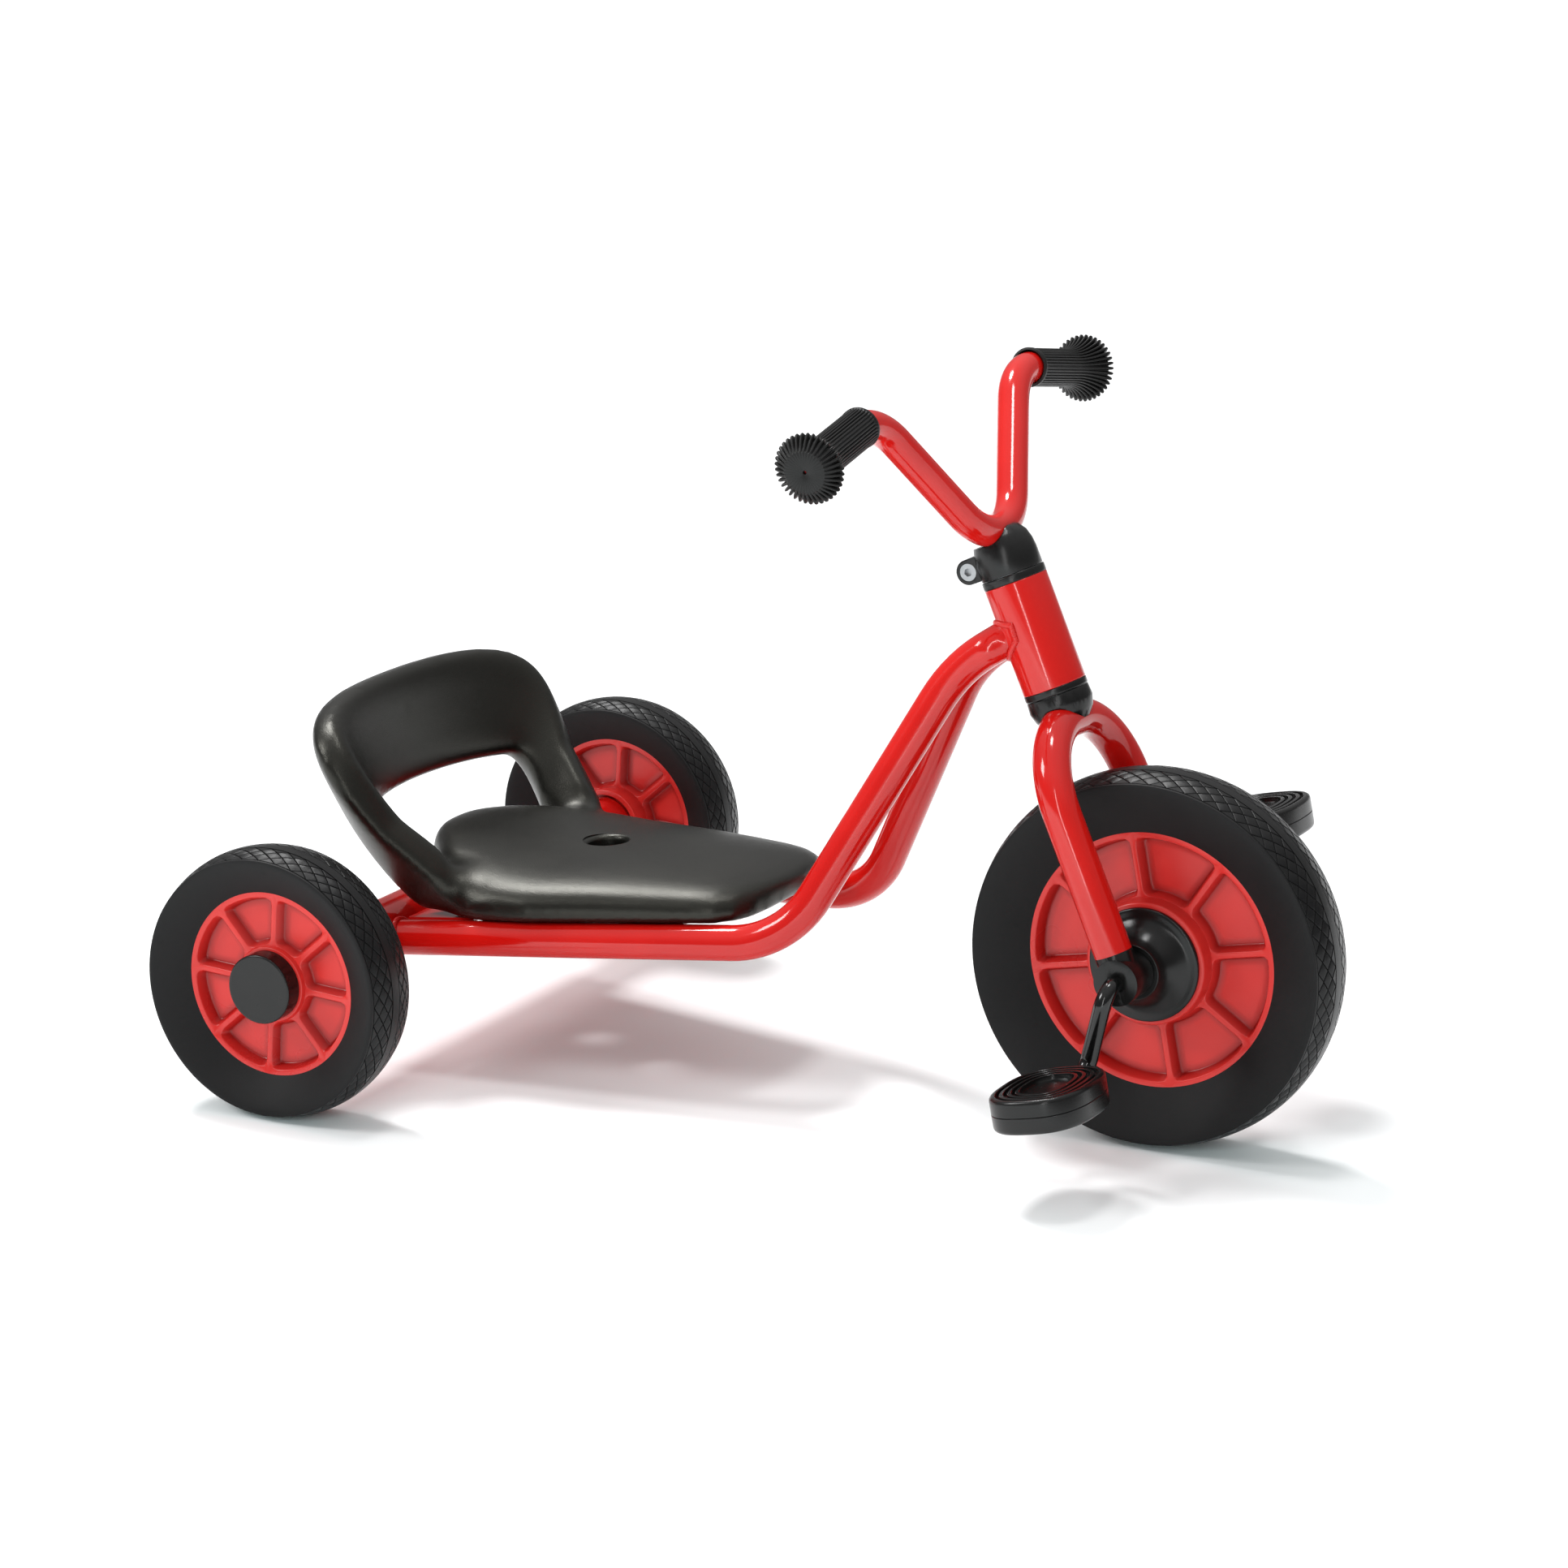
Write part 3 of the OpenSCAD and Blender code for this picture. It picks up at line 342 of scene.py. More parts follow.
# node tree that strings ripples of weld metal along a path
def weldTree():
    tree = newTree("weldRipples", "Bead", Path="Geometry", Ripples="Int", Radius="Float", Finish="Material")
    add = tree.nodes.new
    given, result = add("NodeGroupInput"), add("NodeGroupOutput")
    curve, spread = add("GeometryNodeMeshToCurve"), add("GeometryNodeCurveToPoints")
    drop, copies = add("GeometryNodeMeshUVSphere"), add("GeometryNodeInstanceOnPoints")
    real, smooth = add("GeometryNodeRealizeInstances"), add("GeometryNodeSetShadeSmooth")
    paint = add("GeometryNodeSetMaterial")
    drop.inputs["Segments"].default_value = weldShape["segments"]
    drop.inputs["Rings"].default_value = weldShape["rings"]
    copies.inputs["Scale"].default_value = (1.0, 1.0, weldShape["squash"])
    wireUp(tree, (given, "Path", curve, 0), (curve, 0, spread, 0), (given, "Ripples", spread, "Count"),
        (given, "Radius", drop, "Radius"), (spread, "Points", copies, "Points"), (drop, "Mesh", copies, "Instance"),
        (spread, "Rotation", copies, "Rotation"), (copies, 0, real, 0), (real, 0, smooth, 0),
        (smooth, 0, paint, "Geometry"), (given, "Finish", paint, "Material"), (paint, 0, result, "Bead"))
    return tree


def runTree(piece, tree, **values):
    modifier = piece.modifiers.new("shape", "NODES")
    modifier.node_group = tree
    for item in tree.interface.items_tree:
        if item.in_out == "INPUT" and item.name in values:
            modifier[item.identifier] = values[item.name]
    mesh = applied(piece).data
    coatWith(mesh, values["Finish"])
    mesh.polygons.foreach_set("material_index", [0] * len(mesh.polygons))


copiesRound = roundTree()
weldRipples = weldTree()


def ringOf(piece, count, turn=0.0, sharp=sharpEdge, weld=1e-5):
    runTree(piece, copiesRound, Count=count, Turn=turn, Weld=weld, Finish=piece.data.materials[0])
    polish(piece.data, sharp, weld)
    return piece


wheelShape = dict(front=dict(radius=110, width=47, bead=74.9, blocks=60, hub=36, edge=74.85),
    rear=dict(radius=80, width=40, bead=54.6, blocks=44, hub=22, edge=54.55), rearY=203)
rearFrames = {}
for side, word in sides:
    rearFrames[word] = wheelFrame(rearAxle + Vector((0, side * wheelShape["rearY"] * mm, 0)), side)

# tyres: dished plain sides, a smooth band in the middle, diamond blocks on both shoulders
tyreShape = dict(crownDrop=0.2, beadShare=0.42, insideShare=0.5, insideDeep=3.0, bandShare=0.17, groove=0.55, depth=0.8,
    shoulderRound=0.94, sideLow=1.6, bulge=1.25, shoulder=((-0.6, 0), (0.2, -0.35)), step=0.5, rows=2, sideSteps=10,
    floorSteps=4, bandSteps=4, wedgeSteps=3, blockRings=((0.6, 0.8), (1.15, 0.22), (2.6, 0.0)), treadFrom=0.1, sharp=32)


def tyreWedge(name, wheel):
    s = tyreShape
    radius, rim, half = wheel["radius"] * mm, wheel["bead"] * mm, wheel["width"] * mm / 2
    drop = half * s["crownDrop"]
    arc = (half * half + drop * drop) / (2 * drop)
    turn = 2 * pi / wheel["blocks"]
    edge, band, bead = half * s["shoulderRound"], half * s["bandShare"], half * s["beadShare"]
    depth, step = s["depth"] * mm, s["step"] * mm

    def crown(y):
        return radius - arc + sqrt(arc * arc - y * y)

    def onCrown(u, y, sink):
        r = crown(y) - sink
        return r * cos(u * turn), r * sin(u * turn), y

    line = []
    for k in range(s["sideSteps"] + 1):  # plain side from the rim edge to the shoulder
        t = k / s["sideSteps"]
        r = rim + (radius - drop - s["sideLow"] * mm - rim) * t
        line.append((r, bead + (half - bead) * (1 - (1 - t) ** s["bulge"])))
    line += [(radius - drop + up * mm, half + out * mm) for up, out in s["shoulder"]]
    line += [(crown(edge), edge), (crown(edge) - depth, edge - step)]
    for k in range(1, s["floorSteps"] + 1):  # floor between the blocks
        y = edge - step + (band + step - edge) * k / s["floorSteps"]
        line.append((crown(y) - depth, y))
    for k in range(s["bandSteps"] + 1):
        y = band * (1 - k / s["bandSteps"])
        line.append((crown(y), y))
    inside, deep = bead * s["insideShare"], rim + s["insideDeep"] * mm
    line = [(rim, inside)] + line + [(r, -y) for r, y in reversed(line[:-1])] + [(rim, -inside)]
    line += [(deep, -inside), (deep, inside), (rim, inside)]
    points = []
    for k in range(s["wedgeSteps"] + 1):
        a = turn * k / s["wedgeSteps"]
        points += [(r * cos(a), r * sin(a), y) for r, y in line]
    faces = quads(s["wedgeSteps"] + 1, len(line), False)
    pitch = (edge - band - 2 * step) / s["rows"]
    cell = crown(0) * turn
    slope = 0.5 * s["groove"] * mm * hypot(cell, pitch) / (cell * pitch)  # inset as a share of a cell

    def block(outline, way):
        centre = sum(outline, Vector((0, 0))) / len(outline)
        first, m = len(points), len(outline)
        for inset, sink in s["blockRings"]:
            for corner in outline:
                spot = centre + (corner - centre) * (1 - inset * slope * 2)
                points.append(onCrown(spot.x, way * spot.y, sink * mm))
        faces.extend(quads(len(s["blockRings"]), m, True, first))
        faces.append(tuple(range(len(points) - m, len(points))))

    for way in (1, -1):
        for row in range(s["rows"] * 2 + 1):
            y = band + step + pitch * row / 2
            u = 1.0 if row % 2 else 0.5
            outline = [(u - 0.5, y), (u, y - pitch / 2), (u + 0.5, y), (u, y + pitch / 2)]
            if row == 0:
                del outline[1]
            if row == s["rows"] * 2:
                del outline[3]
            block([Vector(corner) for corner in outline], way)
    piece = newPiece(name, points, faces, tyreBlack)
    treadLow = crown(edge) - s["treadFrom"] * mm
    onTread = [float(hypot(v.co.x, v.co.y) > treadLow) for v in piece.data.vertices]
    piece.data.attributes.new("tread", "FLOAT", "POINT").data.foreach_set("value", onTread)
    return piece


def tyre(name, wheel, matrix, body, node):
    piece = ringOf(tyreWedge(name, wheel), wheel["blocks"], 0, tyreShape["sharp"])
    settle(placeMesh(piece, matrix), body, node)


tyre("frontTyre", wheelShape["front"], wheelFrame(frontAxle, 1), "front_wheel", "front_tyre")
for side, word in sides:
    tyre("rearTyre" + word.title(), wheelShape["rear"], rearFrames[word], "rear_wheel_" + word, "rear_tyre_" + word)
print("tyres made")

# rims: eight deep pockets a side with drafted walls and rounded corners
# shades gives the painted shade at each level of a pocket, darkest at the foot of the walls; shade is the last step
# onto the floor, over which the painted shade fades out
rimShape = dict(ribs=8, lip=2.7, hubLip=0.5, ribHalf=1.1, corner=5.0, tightest=3.0, wall=2.4, web=1.0, around=56,
    lipRound=0.7, ribDrop=1.3, ribEase=2.5, shade=5.0, shades=(0, 0, 0, 0.2, 0.9, 1, 0.7, 0), frontTurn=101.6,
    rearTurn=87.0, halvings=40, bandOut=(0.02, 0.1), bandIn=0.6)
hubShape = dict(
    front=((12.1, -18, 0), (36, -18, 1.8), (36.9, -9.5, 0.5), (37.6, -1.2, 0), (37.6, 1.2, 0), (36.9, 9.5, 0.5),
        (36, 18, 1.8), (12.1, 18, 0)),
    rear=((8.1, -16.4, 0), (20.5, -16.4, 0), (20.5, -21.2, 0.4), (24, -21.2, 1.0), (23.2, -8.2, 0.5), (23.0, 7.0, 0.5),
        (22.2, 9.8, 0.8), (17.5, 9.6, 0), (17.5, 10, 0.3), (8.1, 10, 0)),
    cap=((17.6, 9.2, 0), (20.5, 9.2, 0), (20.5, 21, 1.4), (17.5, 20.9, 0.8), (0, 20.75, 0)),
    capInside=((0, 18), (17.6, 18)))


def rimWedge(name, wheel, high):
    s = rimShape
    hubR, edgeR = wheel["hub"] * mm, wheel["edge"] * mm
    half = pi / s["ribs"]
    inner, outer = hubR + s["hubLip"] * mm, edgeR - s["lip"] * mm
    middle = Vector(((inner + outer) / 2, 0))
    ribs = [Vector((sin(half), cos(half))), Vector((sin(half), -cos(half)))]

    def gaps(p, shrink, plain):
        near, far, rib = (hubR, edgeR, 0.0) if plain else (inner, outer, s["ribHalf"] * mm)
        flats = [p.length - far, near - p.length] + [rib - (p.x * q.x - p.y * q.y) for q in ribs]
        if plain:
            return max(flats)
        soft = s["corner"] * mm - min(shrink, s["tightest"] * mm)
        lifted = [f + shrink + soft for f in flats]
        return min(max(lifted), 0) + sqrt(sum(max(f, 0) ** 2 for f in lifted)) - soft

    def reach(angle, shrink, plain):
        way, near, far = Vector((cos(angle), sin(angle))), 0.0, edgeR
        for _ in range(s["halvings"]):
            mid = (near + far) / 2
            near, far = (mid, far) if gaps(middle + way * mid, shrink, plain) < 0 else (near, mid)
        return middle + way * near

    corners = [Vector((r * cos(half), y * r * sin(half))) - middle for r in (hubR, edgeR) for y in (1, -1)]
    angles = sorted([atan2(c.y, c.x) for c in corners] +
        [2 * pi * (k + 0.5) / s["around"] - pi for k in range(s["around"])])
    wall, bend, web = s["wall"] * mm, s["lipRound"] * mm, s["web"] * mm
    deep = high - web
    levels = [(0, high), (0, high), (bend * 0.4, high - bend * 0.15), (bend, high - bend * 0.7),
        (wall * 0.85 + bend * 0.5, web + deep * 0.12), (wall + bend * 0.9, web + deep * 0.03), (wall + bend * 1.8, web),
        (wall + s["shade"] * mm, web)]  # shrink and height, from the wedge's own edge down to the web
    # each point carries its painted shade into the mesh as an attribute
    points, faces, paintedShades = [], [], []
    n = len(angles)
    for way in (1, -1):
        first = len(points)
        for level, (shrink, height) in enumerate(levels):
            paintedShades += [float(s["shades"][level])] * n
            for a in angles:
                spot = reach(a, shrink, level == 0)
                below = max(0, min(1, (outer - spot.length) / (s["ribEase"] * mm)))  # a rib sits lower than the lip
                sunk = s["ribDrop"] * mm * eased(below) * max(0, height - web) / deep
                points.append((spot.x, spot.y, way * (height - sunk)))
        last = len(points)
        points.append((middle.x, 0, way * web))
        paintedShades.append(0.0)
        faces += quads(len(levels), n, True, first)
        faces += [(last - n + k, last - n + (k + 1) % n, last) for k in range(n)]
    return newPiece(name, points, faces, wheelRed, recess=paintedShades)


def joined(name, pieces):
    work = bmesh.new()
    for piece in pieces:
        work.from_mesh(piece.data)
    mesh = bpy.data.meshes.new(name)
    work.to_mesh(mesh)
    work.free()
    mesh.materials.append(pieces[0].data.materials[0])
    made = stand(name, mesh)
    for piece in pieces:
        bpy.data.objects.remove(piece)
    mesh.set_sharp_from_angle(angle=radians(sharpEdge))
    return made


def rim(name, wheel, turn, hubLine, matrix, body, node):
    s = rimShape
    high, edge = wheel["width"] / 2 * tyreShape["beadShare"], wheel["edge"]
    wedge = rimWedge(name + "Wedge", wheel, high * mm)
    ringOf(wedge, s["ribs"], radians(180 / s["ribs"] - turn))
    bandLine = ((edge, high), (edge + s["bandOut"][0], high - s["bandIn"]), (edge, s["bandIn"] - high),
        (edge - s["bandOut"][1], -high))
    band = turned(name + "Band", bandLine, wheelRed)
    hub = turned(name + "Hub", rounded(hubLine), wheelRed)
    settle(placeMesh(joined(name, [wedge, band, hub]), matrix), body, node)


rim("frontRim", wheelShape["front"], rimShape["frontTurn"], hubShape["front"], wheelFrame(frontAxle, 1), "front_wheel",
    "front_rim")
for side, word in sides:
    rim("rearRim" + word.title(), wheelShape["rear"], side * rimShape["rearTurn"], hubShape["rear"], rearFrames[word],
        "rear_wheel_" + word, "rear_rim_" + word)
    cap = turned("hubCap" + word.title(), rounded(hubShape["cap"]) + list(hubShape["capInside"]), plasticBlack)
    settle(placeMesh(cap, rearFrames[word]), "rear_wheel_" + word, "rear_cap_" + word)
print("rims made")


# swept tubes: straight runs and round bends
def pathOf(corners, bends, stepDeg=4):
    line = [corners[0]]
    for k in range(1, len(corners) - 1):
        a, b = (corners[k] - corners[k - 1]).normalized(), (corners[k + 1] - corners[k]).normalized()
        turn = a.angle(b)
        start = corners[k] - a * (bends[k] * tan(turn / 2))
        inward = (b - a * a.dot(b)).normalized()
        steps = max(2, int(degrees(turn) / stepDeg))
        for j in range(steps + 1):
            t = turn * j / steps
            line.append(start + a * bends[k] * sin(t) + inward * bends[k] * (1 - cos(t)))
    line.append(corners[-1])
    return line


def swept(name, line, radius, material, around=48, ends=0.0):
    last = len(line) - 1
    stations = [(k, radius, ends if k in (0, last) else 0.0) for k in range(last + 1)]
    if ends:  # rounded off
        nose = [(radius - ends * (1 - t), ends * (1 - sqrt(1 - (1 - t) ** 2))) for t in (0.0, 0.5, 0.87)]
        stations = [(0, *step) for step in nose] + stations + [(last, *step) for step in reversed(nose)]
    points, normal = [], None
    for k, r, back in stations:
        ahead = (line[min(k + 1, last)] - line[max(k - 1, 0)]).normalized()
        if normal is None:
            normal = ahead.orthogonal().normalized()
        normal = (normal - ahead * normal.dot(ahead)).normalized()
        other = ahead.cross(normal)
        centre = line[k] + ahead * (back if k == 0 else -back)
        for j in range(around):
            t = 2 * pi * j / around
            points.append(centre + r * (normal * cos(t) + other * sin(t)))
    return newPiece(name, points, capped(len(stations), around), material)


frameShape = dict(tube=10.6, headTube=18.7, neckUp=164.7 + 64 * 0.59, neckSlope=34.7, neckRun=50.1, neckY=11.0,
    neckIn=9.35, kneeX=462.5 * 0.5488, kneeY=56.9, kneeUp=21.0, tailX=10.0, tailY=406 * 0.2406, bends=(0, 79, 61, 0),
    pressed=17.0, pressedTo=0.70, runStep=3.0, runSteps=6, weldIn=0.80,
    head=((16.2, 164.7, 0), (18.7, 164.7, 0.6), (18.7, 228.7, 0.6), (16.2, 228.7, 0)),
    cross=((16.2, -183.6, 0), (18.7, -183.6, 0.5), (18.7, 183.6, 0.5), (16.2, 183.6, 0)))
steerWay = Vector((-sin(lean), 0, cos(lean)))


def railCorners(side):
    s = frameShape
    neck = forkFoot - rearAxle + s["neckUp"] * mm * steerWay + Vector((0, side * s["neckY"], 0)) * mm
    slope = Vector((cos(radians(s["neckSlope"])), 0, sin(radians(s["neckSlope"]))))
    past = s["tailX"] / (s["kneeX"] - s["tailX"])
    tail = Vector((0, side * (s["tailY"] + (s["tailY"] - s["kneeY"]) * past), -s["kneeUp"] * past))
    knee = Vector((s["kneeX"], side * s["kneeY"], s["kneeUp"]))
    corners = [neck - s["neckIn"] * mm * slope, neck - s["neckRun"] * mm * slope, knee * mm, tail * mm]
    return [rearAxle + c for c in corners]


for side, word in sides:
    line = pathOf(railCorners(side), [b * mm for b in frameShape["bends"]])
    up = (line[0] - line[1]).normalized()
    line[1:1] = [line[0] - up * frameShape["runStep"] * mm * (k + 1) for k in range(frameShape["runSteps"])]
    rail = swept("frameTube" + word.title(), line, frameShape["tube"] * mm, redPaint)
    for vertex in rail.data.vertices:  # the end is pressed narrower where it meets the head tube
        t = max(0, 1 + (vertex.co - line[0]).dot(up) / (frameShape["pressed"] * mm))
        vertex.co.y *= 1 - (1 - frameShape["pressedTo"]) * eased(t)
    settle(rail, "frame", "frame_tube_" + word)
head = turned("headTube", rounded(frameShape["head"]), redPaint)
settle(placeMesh(head, steerFrame), "frame", "head_tube")
cross = turned("crossTube", rounded(frameShape["cross"]), redPaint)
settle(placeMesh(cross, wheelFrame(rearAxle, 1)), "frame", "rear_cross_tube")


# the line where a rail meets a round tube
def weldPath(origin, way, axisPoint, axisWay, steps=72):
    radius, axisRadius = frameShape["tube"] * mm, frameShape["headTube"] * mm
    side = way.orthogonal().normalized()
    other = way.cross(side)
    path = []
    for k in range(steps):
        t = 2 * pi * k / steps
        p = origin + radius * (side * cos(t) + other * sin(t))
        d = way - axisWay * way.dot(axisWay)
        q = (p - axisPoint) - axisWay * (p - axisPoint).dot(axisWay)
        a, b, c = d.dot(d), 2 * d.dot(q), q.dot(q) - axisRadius ** 2
        root = b * b - 4 * a * c
        if root >= 0:
            path.append(p + way * ((-b - sqrt(root)) / (2 * a)))
    return path


def weldBead(name, path):
    mesh = bpy.data.meshes.new(name)
    count = len(path)
    mesh.from_pydata([tuple(p) for p in path], [(k, (k + 1) % count) for k in range(count)], [])
    piece = stand(name, mesh)
    length = sum((path[k] - path[k - 1]).length for k in range(count))
    runTree(piece, weldRipples, Ripples=int(length / (weldShape["ripple"] * mm)), Radius=weldShape["radius"] * mm,
        Finish=redPaint)
    settle(piece, "frame")


for side, word in sides:
    corners = railCorners(side)
    up, down = (corners[0] - corners[1]).normalized(), (corners[3] - corners[2]).normalized()
    corners[1].y *= frameShape["weldIn"]  # follows the pressed end
    weldBead("neckWeld" + word.title(), weldPath(corners[1], up, forkFoot, steerWay))
    weldBead("tailWeld" + word.title(), weldPath(corners[2], down, rearAxle, Vector((0, 1, 0))))
print("frame made")

# fork, steering and handlebar, drawn up the steering axis
forkShape = dict(tube=11.0, legY=49.5, rise=144.1, legEnd=15.3, bend=49.5 * 0.93, nose=0.7)
barShape = dict(tube=9.25, endY=185.5, rise=342.7, drop=15.2, bendY=93.1, apex=259.4, low=45.3, high=42.0, rounds=40)
crankShape = dict(rod=5.0, radius=53.2, turn=12.0, armY=73.0, end=152.7, bend=12.0, stepDeg=5, around=40, nose=0.8)
crankTurn = radians(crankShape["turn"])
pin = Vector((-sin(crankTurn), 0, -cos(crankTurn))) * crankShape["radius"]


def makeFork():
    s = forkShape
    legs = ((-s["legY"], s["legEnd"]), (-s["legY"], s["rise"]), (s["legY"], s["rise"]), (s["legY"], s["legEnd"]))
    line = pathOf([Vector((rake, y, z)) * mm for y, z in legs], [0, s["bend"] * mm, s["bend"] * mm, 0])
    fork = swept("forkTube", line, s["tube"] * mm, redPaint, ends=s["nose"] * mm)
    settle(placeMesh(fork, steerFrame), "steering", "fork_tube")


def makeBar():
    s, drop = barShape, 0.0
    for _ in range(s["rounds"]):  # finds the corner whose bend bottoms at the apex
        drop = s["low"] * (1 / sin(pi / 2 - atan2(s["rise"] - s["apex"] + drop, s["bendY"])) - 1)
    end = s["rise"] - s["drop"]
    corners = ((-s["endY"], end), (-s["bendY"], s["rise"]), (0, s["apex"] - drop), (s["bendY"], s["rise"]),
        (s["endY"], end))
    bends = [0, s["high"] * mm, s["low"] * mm, s["high"] * mm, 0]
    line = pathOf([Vector((0, y, z)) * mm for y, z in corners], bends)
    bar = swept("handlebarTube", line, s["tube"] * mm, redPaint)
    settle(placeMesh(bar, steerFrame), "steering", "handlebar")


def makeCrank():
    s = crankShape
    half = [Vector((0, s["end"], 0)) - pin, Vector((0, s["armY"], 0)) - pin, Vector((0, s["armY"], 0))]
    corners = [-c for c in half] + half[::-1]
    line = pathOf([frontAxle + c * mm for c in corners], [0] + [s["bend"] * mm] * 4 + [0], s["stepDeg"])
    crank = swept("crankRod", line, s["rod"] * mm, crankBlack, s["around"], s["nose"] * mm)
    settle(crank, "front_wheel", "crank_axle")


makeFork()
makeBar()
makeCrank()
print("fork, handlebar and crank made")

# grips: ridges along the sleeve that flare into a toothed bell; stations are (height, ridge, valley)
gripShape = dict(length=78.0, end=2.5, teeth=38, sleeve=11.35, valley=10.35, rim=19.9, rimValley=16.6, sharp=50,
    collar=((0.0, 10.2, 10.2), (0.0, 11.4, 11.4), (0.4, 11.75, 11.75), (2.2, 11.75, 11.75), (2.8, 11.35, 11.0)),
    sleeveRun=(3.6, 48), sleeveSteps=8, flareTo=70.5, flarePower=2.3, flareSteps=12, rimTo=71.6, coneRun=(72.6, 77.6),
    cone=((19.5, 16.3), (12.2, 11.7)), conePower=0.8, coneSteps=5, coneEarly=1.02,
    face=((78.0, 11.7, 11.6), (78.0, 1.3, 1.3), (77.7, 1.0, 1.0), (75.0, 1.0, 1.0)),
    tooth=((0.0, 0.0), (0.12, 0.0), (0.24, 0.75), (0.36, 1.0), (0.5, 1.05), (0.64, 1.0), (0.76, 0.75), (0.88, 0.0),
        (1.0, 0.0)))


def gripWedge(name):
    s = gripShape
    line = list(s["collar"])
    low, high = s["sleeveRun"]
    for k in range(s["sleeveSteps"] + 1):
        line.append((low + (high - low) * k / s["sleeveSteps"], s["sleeve"], s["valley"]))
    for k in range(1, s["flareSteps"] + 1):
        t = k / s["flareSteps"]
        lift = t ** s["flarePower"]
        line.append((high + (s["flareTo"] - high) * t, s["sleeve"] + (s["rim"] - s["sleeve"]) * lift,
            s["valley"] + (s["rimValley"] - s["valley"]) * lift))
    line.append((s["rimTo"], s["rim"], s["rimValley"]))
    low, high = s["coneRun"]
    (ridgeFrom, valleyFrom), (ridgeTo, valleyTo) = s["cone"]
    for k in range(s["coneSteps"] + 1):  # front cone up to the flat face
        t = k / s["coneSteps"]
        line.append((low + (high - low) * t ** s["conePower"], ridgeFrom + (ridgeTo - ridgeFrom) * t,
            valleyFrom + (valleyTo - valleyFrom) * min(1, t * s["coneEarly"])))
    line += s["face"]
    points = []
    for z, ridge, valley in line:
        for u, lift in s["tooth"]:
            a = 2 * pi * u / s["teeth"]
            r = valley + (ridge - valley) * lift
            points.append((r * mm * cos(a), r * mm * sin(a), z * mm))
    return newPiece(name, points, quads(len(line), len(s["tooth"]), False), gripBlack, s["sharp"])


for side, word in sides:
    grip = ringOf(gripWedge("grip" + word.title()), gripShape["teeth"], 0, gripShape["sharp"])
    out = Vector((0, side * (barShape["endY"] - barShape["bendY"]), -barShape["drop"])).normalized()
    barEnd = Vector((0, side * barShape["endY"], barShape["rise"] - barShape["drop"])) * mm
    foot = barEnd + (gripShape["end"] - gripShape["length"]) * mm * out
    matrix = steerFrame @ Matrix.Translation(foot) @ out.to_track_quat("Z", "X").to_matrix().to_4x4()
    settle(placeMesh(grip, matrix), "steering", "grip_" + word)
print("grips made")

# pedals: two oval halves with nested ridges on the tread faces; grooves are (along, down)
pedalShape = dict(length=72.5, width=58.0, thick=19.4, power=2.65, tilt=12.0, inner=86.0, around=112, ridges=4,
    ridge=1.7, firstRidge=1.19, groove=2.0, edge=2.6, edgeIn=0.8, edgeSteps=5, seam=0.35,
    grooveIn=((0, 0), (0.25, 0.25), (0.4, 2.7), (0.6, 3.0)), grooveOut=((0, 3.0), (0.2, 2.7), (0.35, 0.4), (0.6, 0.15)))


def pedalHalf(name, side, way, body, node):
    s = pedalShape
    high, n = s["thick"] / 2, s["around"]
    line = [(s["seam"], 0.0), (0.0, s["seam"]), (0.0, high - s["edge"])]
    for k in range(1, s["edgeSteps"] + 1):
        t = pi / 2 * k / s["edgeSteps"]
        line.append((s["edge"] * (1 - cos(t)) * s["edgeIn"], high - s["edge"] * (1 - sin(t))))
    spot = s["edge"] * s["edgeIn"]
    for k in range(s["ridges"]):
        spot += s["ridge"] if k else s["firstRidge"]
        line += [(spot + along, high - down) for along, down in s["grooveIn"]]
        spot += s["groove"]
        if k < s["ridges"] - 1:
            line += [(spot + along, high - down) for along, down in s["grooveOut"]]
            spot += s["grooveOut"][-1][0]
    points = []
    for inset, z in line:
        for k in range(n):
            t = 2 * pi * k / n
            x = (s["width"] / 2 - inset) * squarish(cos(t), s["power"])
            y = (s["length"] / 2 - inset) * squarish(sin(t), s["power"])
            points.append((x * mm, y * mm, way * z * mm))
    piece = newPiece(name, points, capped(len(line), n), plasticBlack)
    centre = frontAxle - side * pin * mm + Vector((0, side * (s["inner"] + s["length"] / 2), 0)) * mm
    placeMesh(piece, Matrix.Translation(centre) @ Matrix.Rotation(radians(-s["tilt"]), 4, "Y"))
    settle(piece, body, node)


for side, word in sides:
    body = "pedal_" + word
    pedalHalf("pedal" + word.title() + "Top", side, 1, body, body + "_upper")
    pedalHalf("pedal" + word.title() + "Base", side, -1, body, body + "_lower")
print("pedals made")

# front hub flanges, steering bearings, and edge widths for the moulded fittings
fittingShape = dict(
    flange=((5.1, 4, 0), (12, 4, 0), (12, 18, 0), (33.3, 18.1, 0.3), (33.3, 20.4, 1.0), (31.6, 20.9, 0.6),
        (27.8, 21.4, 3), (22.6, 25.0, 4), (18.4, 30.5, 4), (16.2, 35.2, 1), (16.0, 36.6, 0.5), (5.1, 36.7, 0)),
    upperBearing=((12.8, 208.7, 0), (16.2, 208.7, 0), (16.2, 228.7, 0), (18.7, 228.75, 0.5), (18.7, 233.3, 0.9),
        (12.8, 233.3, 0)),
    lowerBearing=((12.8, 184.7, 0), (16.2, 184.7, 0), (16.2, 164.7, 0), (18.7, 164.65, 0.5), (18.7, 160.7, 0.9),
        (12.8, 160.7, 0)),
    weld=2e-6, flatten=1.0, segments=2, bevelFrom=40, sharp=32,
    soft=dict(handlebar_clamp=0.8, crown_cup=0.5, bearing_right_front=0.4, bearing_right_rear=0.4,
        bearing_left_front=0.4, bearing_left_rear=0.4))
for side, word in sides:
    flange = turned("hubFlange" + word.title(), rounded(fittingShape["flange"]), plasticBlack)
    settle(placeMesh(flange, wheelFrame(frontAxle, side)), "front_wheel", "hub_flange_" + word)
